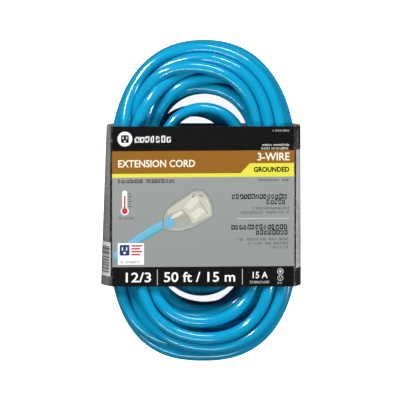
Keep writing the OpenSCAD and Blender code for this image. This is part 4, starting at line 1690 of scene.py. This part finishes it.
@dataclass
class SleevePrint:
    """What is printed over the bands, as flat shapes a hair above the card.

    Places are millimetres on the front, with the print's slight slope taken out. Small
    writing is only rows of little frames, and says nothing.
    """

    sleeve: Sleeve
    layer_mm: float = 0.035
    points: list = field(default_factory=list)
    faces: list = field(default_factory=list)
    inks: list = field(default_factory=list)
    rows_made: int = 0

    def add(self, xy: np.ndarray, faces: Sequence[Sequence[int]], colour: Ink, layer: int) -> None:
        """Lay flat faces on the card.

        Args:
            xy: Rows of x and y in millimetres.
            faces: Tuples of point numbers, counter-clockwise.
            colour: Ink of the faces.
            layer: How many layers of ink lie below.
        """
        xy = np.asarray(xy, float)
        fold = self.sleeve.fold_x / MM
        y = xy[:, 1] + self.sleeve.print_slope * np.clip(xy[:, 0], -fold, fold)
        start = len(self.points)
        self.points += self.sleeve.surface(xy[:, 0] * MM, y * MM, (layer + 1) * self.layer_mm * MM).tolist()
        self.faces += [tuple(start + k for k in face) for face in faces]
        self.inks += [colour] * len(faces)

    def shape(self, colour: Ink, outline: Sequence[Sequence[float]], layer: int = 0) -> None:
        """One filled outline.

        Args:
            colour: Ink.
            outline: Corners in millimetres, counter-clockwise.
            layer: How many layers of ink lie below.
        """
        self.add(np.array(outline), [tuple(range(len(outline)))], colour, layer)

    def block(self, colour: Ink, area: Area, layer: int = 0, lean: float = 0.0) -> None:
        """A filled rectangle, in short pieces that follow the card.

        Args:
            colour: Ink.
            area: Its left, lower, right and upper side.
            layer: How many layers of ink lie below.
            lean: How far the left side leans inwards at the top.
        """
        x0, y0, x1, y1 = area
        steps = max(2, int(abs(x1 - x0) / 3) + 2)
        share = np.linspace(0, 1, steps)[:, None]
        left = np.array([x0, x0 + lean])
        x = left + (x1 - left) * share
        y = np.broadcast_to((y0, y1), x.shape)
        self.add(np.stack([x.ravel(), y.ravel()], axis=-1), join_by_grid(steps, 2), colour, layer)

    def disc(self, colour: Ink, x: float, y: float, radius: float, layer: int = 0,
             hole: float = 0.0) -> None:
        """A disc, or a ring.

        Args:
            colour: Ink.
            x: Middle, across the sleeve.
            y: Middle, along the sleeve.
            radius: Outer radius.
            layer: How many layers of ink lie below.
            hole: Radius of the hole, if it has one.
        """
        turn = np.linspace(0, 2 * np.pi, 33)[:-1]
        round_ = np.stack([np.cos(turn), np.sin(turn)], axis=-1)
        if not hole:
            self.shape(colour, (x, y) + radius * round_, layer)
            return
        both = np.concatenate([(x, y) + radius * round_, (x, y) + hole * round_])
        self.add(both, [(k, (k + 1) % 32, 32 + (k + 1) % 32, 32 + k) for k in range(32)], colour, layer)

    def rounded(self, colour: Ink, x: float, y: float, half_w: float, half_h: float, corner: float,
                layer: int = 0) -> None:
        """A filled rectangle with round corners.

        Args:
            colour: Ink.
            x: Middle, across the sleeve.
            y: Middle, along the sleeve.
            half_w: Half its width.
            half_h: Half its height.
            corner: Radius of its corners.
            layer: How many layers of ink lie below.
        """
        outline = []
        for quarter in range(4):
            cx = x + (half_w - corner) * (1 if quarter in (0, 3) else -1)
            cy = y + (half_h - corner) * (1 if quarter < 2 else -1)
            for step in range(7):
                angle = math.radians(90 * quarter + 15 * step)
                outline.append((cx + corner * math.cos(angle), cy + corner * math.sin(angle)))
        self.shape(colour, outline, layer)

    def writing(self, words: str, colour: Ink, area: Area, weight: float, layer: int = 0) -> None:
        """Plain capitals or numbers, stretched to fill a rectangle.

        Args:
            words: What is written.
            colour: Ink.
            area: Its left, lower, right and upper side.
            weight: How much thicker than normal the strokes are.
            layer: How many layers of ink lie below.
        """
        curve = bpy.data.curves.new("writing", "FONT")
        curve.body, curve.offset, curve.resolution_u = words, weight, 3
        holder = add_object("writing", curve)
        mesh = plain_mesh(holder)
        xy = np.array([v.co[:2] for v in mesh.vertices])
        low, high = xy.min(0), xy.max(0)
        x0, y0, x1, y1 = area
        xy = (x0, y0) + (xy - low) / (high - low) * (x1 - x0, y1 - y0)
        self.add(xy, [tuple(p.vertices) for p in mesh.polygons], colour, layer)
        bpy.data.objects.remove(holder)
        bpy.data.meshes.remove(mesh)

    def small_print(self, colour: Ink, area: Area, layer: int = 0, upright: bool = False,
                    bold: bool = False) -> None:
        """A row of little frames that stands for a line of small writing.

        Args:
            colour: Ink.
            area: Its left, lower, right and upper side.
            layer: How many layers of ink lie below.
            upright: Whether the line runs along the sleeve instead of across it.
            bold: Whether its strokes are thicker.
        """
        x0, y0, x1, y1 = area
        long, tall = (y1 - y0, x1 - x0) if upright else (x1 - x0, y1 - y0)
        self.rows_made += 1
        pitch, spaces = (0.78 * tall, 0.06) if bold else (0.68 * tall, 0.13)
        xy, faces = LETTER_ROW.flat_faces({"Length": long, "Height": tall, "Pitch": pitch, "Spaces": spaces,
                                           "Seed": self.rows_made})
        if upright:
            xy = np.stack([tall - xy[:, 1], xy[:, 0]], axis=-1)
        self.add((x0, y0) + xy, faces, colour, layer)
        if bold:
            self.add((x0 + 0.07 * tall, y0 + 0.05 * tall) + xy, faces, colour, layer)

    def barcode(self, area: Area) -> None:
        """Bars of uneven width on a white block, which encode nothing.

        Args:
            area: Its left, lower, right and upper side.
        """
        self.block(Ink.WHITE, area)
        x0, y0, x1, y1 = area
        margin = 2.2
        xy, faces = BAR_ROW.flat_faces({"Length": y1 - y0 - 2 * margin, "Height": x1 - x0 - 9,
                                        "Pitch": 0.95, "Seed": 5})
        self.add((x0 + 7, y0 + margin) + xy[:, ::-1], faces, Ink.BLACK, 1)
        self.small_print(Ink.BLACK, (x0 + 2.2, y0 + 4, x0 + 5.2, y1 - 4), 1, upright=True)

    def outlet_face(self, colour: Ink, x: float, y: float, size: float, layer: int) -> None:
        """The pictogram of an outlet: two slots and a ground hole.

        Args:
            colour: Ink.
            x: Middle, across the sleeve.
            y: Middle, along the sleeve.
            size: Distance that its sizes are shares of.
            layer: How many layers of ink lie below.
        """
        for side in (-1, 1):
            left = x + side * 0.36 * size - 0.09 * size
            self.block(colour, (left, y, left + 0.18 * size, y + 0.55 * size), layer)
        self.disc(colour, x, y - 0.42 * size, 0.2 * size, layer)

    def top_band(self) -> None:
        """Pictogram and greeked lines in the top band."""
        self.disc(Ink.WHITE, -66.8, 54.6, 6.3)
        self.rounded(Ink.BLACK, -66.8, 54.6, 3.3, 3.3, 1.2, 1)
        self.outlet_face(Ink.WHITE, -66.8, 54.4, 4.2, 2)
        self.small_print(Ink.WHITE, (-58.4, 51.4, -22.5, 57.2), bold=True)
        self.small_print(Ink.PALE, (59.2, 60.2, 74, 61.8))
        self.small_print(Ink.WHITE, (50.4, 47.9, 73.6, 49.6))
        self.small_print(Ink.WHITE, (49.6, 44.9, 73.6, 46.7))

    def titles(self) -> None:
        """Titles in the brown band, and the wedge of the yellow one."""
        self.writing("EXTENSION CORD", Ink.CREAM, (-72.6, 30.3, -7, 36.6), 0.018)
        self.writing("3-WIRE", Ink.CREAM, (46.2, 35.4, 73.6, 42.2), 0.018)
        edge = self.sleeve.fold_x / MM - 0.7
        self.block(Ink.YELLOW, (31.3, 24.3, edge, 33.2), lean=8.5)
        self.writing("GROUNDED", Ink.BLACK, (43, 25.7, 73.4, 30.1), 0.035, 2)
        self.small_print(Ink.DARK, (-72.6, 16.9, -23.4, 20), bold=True)
        self.small_print(Ink.DARK, (47.5, 17.8, 73.6, 19.9))

    def text_column(self) -> None:
        """Lines of small writing on the right, with a rule between them."""
        right = 73.6
        for left, low, high in ((24.5, 2.6, 6.9), (54, -2, 2.3), (24, -23.4, -19), (45.2, -28, -23.6)):
            self.small_print(Ink.BLACK, (left, low, right, high), bold=True)
        for left, low in ((40.6, -6.3), (32, -9.8), (28.6, -32.7), (38.4, -36.2), (58, -39.6)):
            self.small_print(Ink.DARK, (left, low, right, low + 2.1))
        self.block(Ink.PALE, (28.5, -14.3, right, -13.8))

    def thermometer(self) -> None:
        """Pictogram for the range of temperature."""
        self.rounded(Ink.WHITE, -67, 1.5, 2.1, 9.2, 2.1)
        self.disc(Ink.WHITE, -67, -7, 3.5)
        self.disc(Ink.RED, -67, -7, 2.5, 1)
        self.block(Ink.RED, (-67.7, -6, -66.3, 6), 1)
        for k in range(6):
            self.block(Ink.DARK, (-63.8, -3.4 + 2.2 * k, -62 + 1.2 * (k % 2 == 0), -2.9 + 2.2 * k))
        self.small_print(Ink.DARK, (-72, -13.8, -58.5, -12.2))

    def connector_picture(self) -> None:
        """Picture of a clear receptacle on its cord, in a few flat tones."""
        for colour, layer, outline in PICTURE:
            self.shape(colour, outline, layer)

    def label(self) -> None:
        """White label with an outlet pictogram and bars."""
        self.block(Ink.WHITE, (-73, -52.9, -50.6, -34.4), 2)
        self.rounded(Ink.NAVY, -67.2, -40.4, 4.2, 4.6, 1.2, 3)
        self.outlet_face(Ink.WHITE, -67.2, -40.6, 5, 4)
        for k in range(4):
            self.block(Ink.RED, (-61.4, -37.4 - 2.5 * k, -52.2 - 1.6 * (k % 2), -36 - 2.5 * k), 3)
        self.small_print(Ink.DARK, (-71.4, -51.6, -52.4, -49.4), 3)

    def bottom_band(self) -> None:
        """Gauge, length and current, with marks that are only plain rings."""
        self.writing("12/3", Ink.WHITE, (-66.2, -68, -44.6, -59.6), 0.012)
        self.writing("50 ft / 15 m", Ink.WHITE, (-33.6, -68, 27.2, -59.4), 0.012)
        self.writing("15 A", Ink.WHITE, (42.2, -65.2, 55, -59.6), 0.012)
        self.small_print(Ink.PALE, (40, -69.4, 57, -67.2))
        for x in (-39.2, 33.4):
            self.block(Ink.PALE, (x - 0.25, -70.6, x + 0.25, -57))
        self.disc(Ink.PALE, 65.8, -59.4, 2.7, hole=2.1)
        self.disc(Ink.PALE, 65.8, -59.4, 1.2)
        self.disc(Ink.PALE, 65.8, -65, 2.5, hole=2.05)
        self.outlet_face(Ink.PALE, 65.8, -65, 2.4, 0)
        self.small_print(Ink.PALE, (63.4, -70, 68.4, -68.4))

    def sides(self) -> None:
        """Lines of small writing along the side panels, and a barcode on the left one."""
        fold = self.sleeve.fold_x / MM
        self.small_print(Ink.PALE, (-fold - 15, 8, -fold - 9, 50), upright=True)
        self.small_print(Ink.PALE, (-fold - 30, -30, -fold - 26.5, 46), upright=True)
        for k in range(3):
            left = -fold - 20 + 4.4 * k
            self.small_print(Ink.PALE, (left, -30, left + 2.4, -4 - 5 * k), upright=True)
        self.barcode((-fold - 40, -63, -fold - 2.5, -34))
        self.small_print(Ink.PALE, (fold + 6, 34, fold + 11, 62), upright=True)
        for k in range(11):
            left = fold + 8 + 5 * k
            self.small_print(Ink.DARK, (left, -53, left + 2.6, 8 - 9 * (k % 4)), upright=True)

    def back(self) -> None:
        """Blocks of small writing on the back."""
        middle = self.sleeve.half_round / MM
        for side in (-1, 1):
            for k in range(9):
                near, far = sorted((side * (middle - 12), side * (middle - 62 + 7 * (k % 3))))
                self.small_print(Ink.PALE, (near, 34 - 7 * k, far, 36.4 - 7 * k))

    def build(self) -> bpy.types.Object:
        """Print everything.

        Returns:
            One flat object with a material slot for each ink.
        """
        for part in (self.top_band, self.titles, self.text_column, self.thermometer, self.connector_picture,
                     self.label, self.bottom_band, self.sides, self.back):
            part()
        obj = mesh_object("sleeve_print", self.points, self.faces, smooth=False)
        used = [colour for colour in Ink if colour in self.inks]
        for colour in used:
            obj.data.materials.append(ink(colour))
        obj.data.polygons.foreach_set("material_index", [used.index(colour) for colour in self.inks])
        self.face_outwards(obj)
        return obj

    def face_outwards(self, obj: bpy.types.Object) -> None:
        """Turn every printed face away from the coil's middle.

        Args:
            obj: The print.
        """
        work = bmesh.new()
        work.from_mesh(obj.data)
        work.normal_update()
        for face in work.faces:
            middle = face.calc_center_median()
            if face.normal.dot(Vector((middle.x if abs(middle.x) > self.sleeve.fold_x else 0, 0,
                                       middle.z - self.sleeve.height / 2))) < 0:
                face.normal_flip()
        work.to_mesh(obj.data)
        work.free()


def main() -> None:
    """Build the object and the studio."""
    logging.basicConfig(level=logging.INFO, format="%(name)s %(message)s")
    Studio().build()
    cord = Cord()
    route = cord.build()
    TwistTie(-1, "left_tie", cord.diameter / 2).build(route)
    TwistTie(1, "right_tie", cord.diameter / 2).build(route)
    CordEnds(cord).build()
    cord.declare()
    Sleeve().build()


if __name__ == "__main__":
    main()
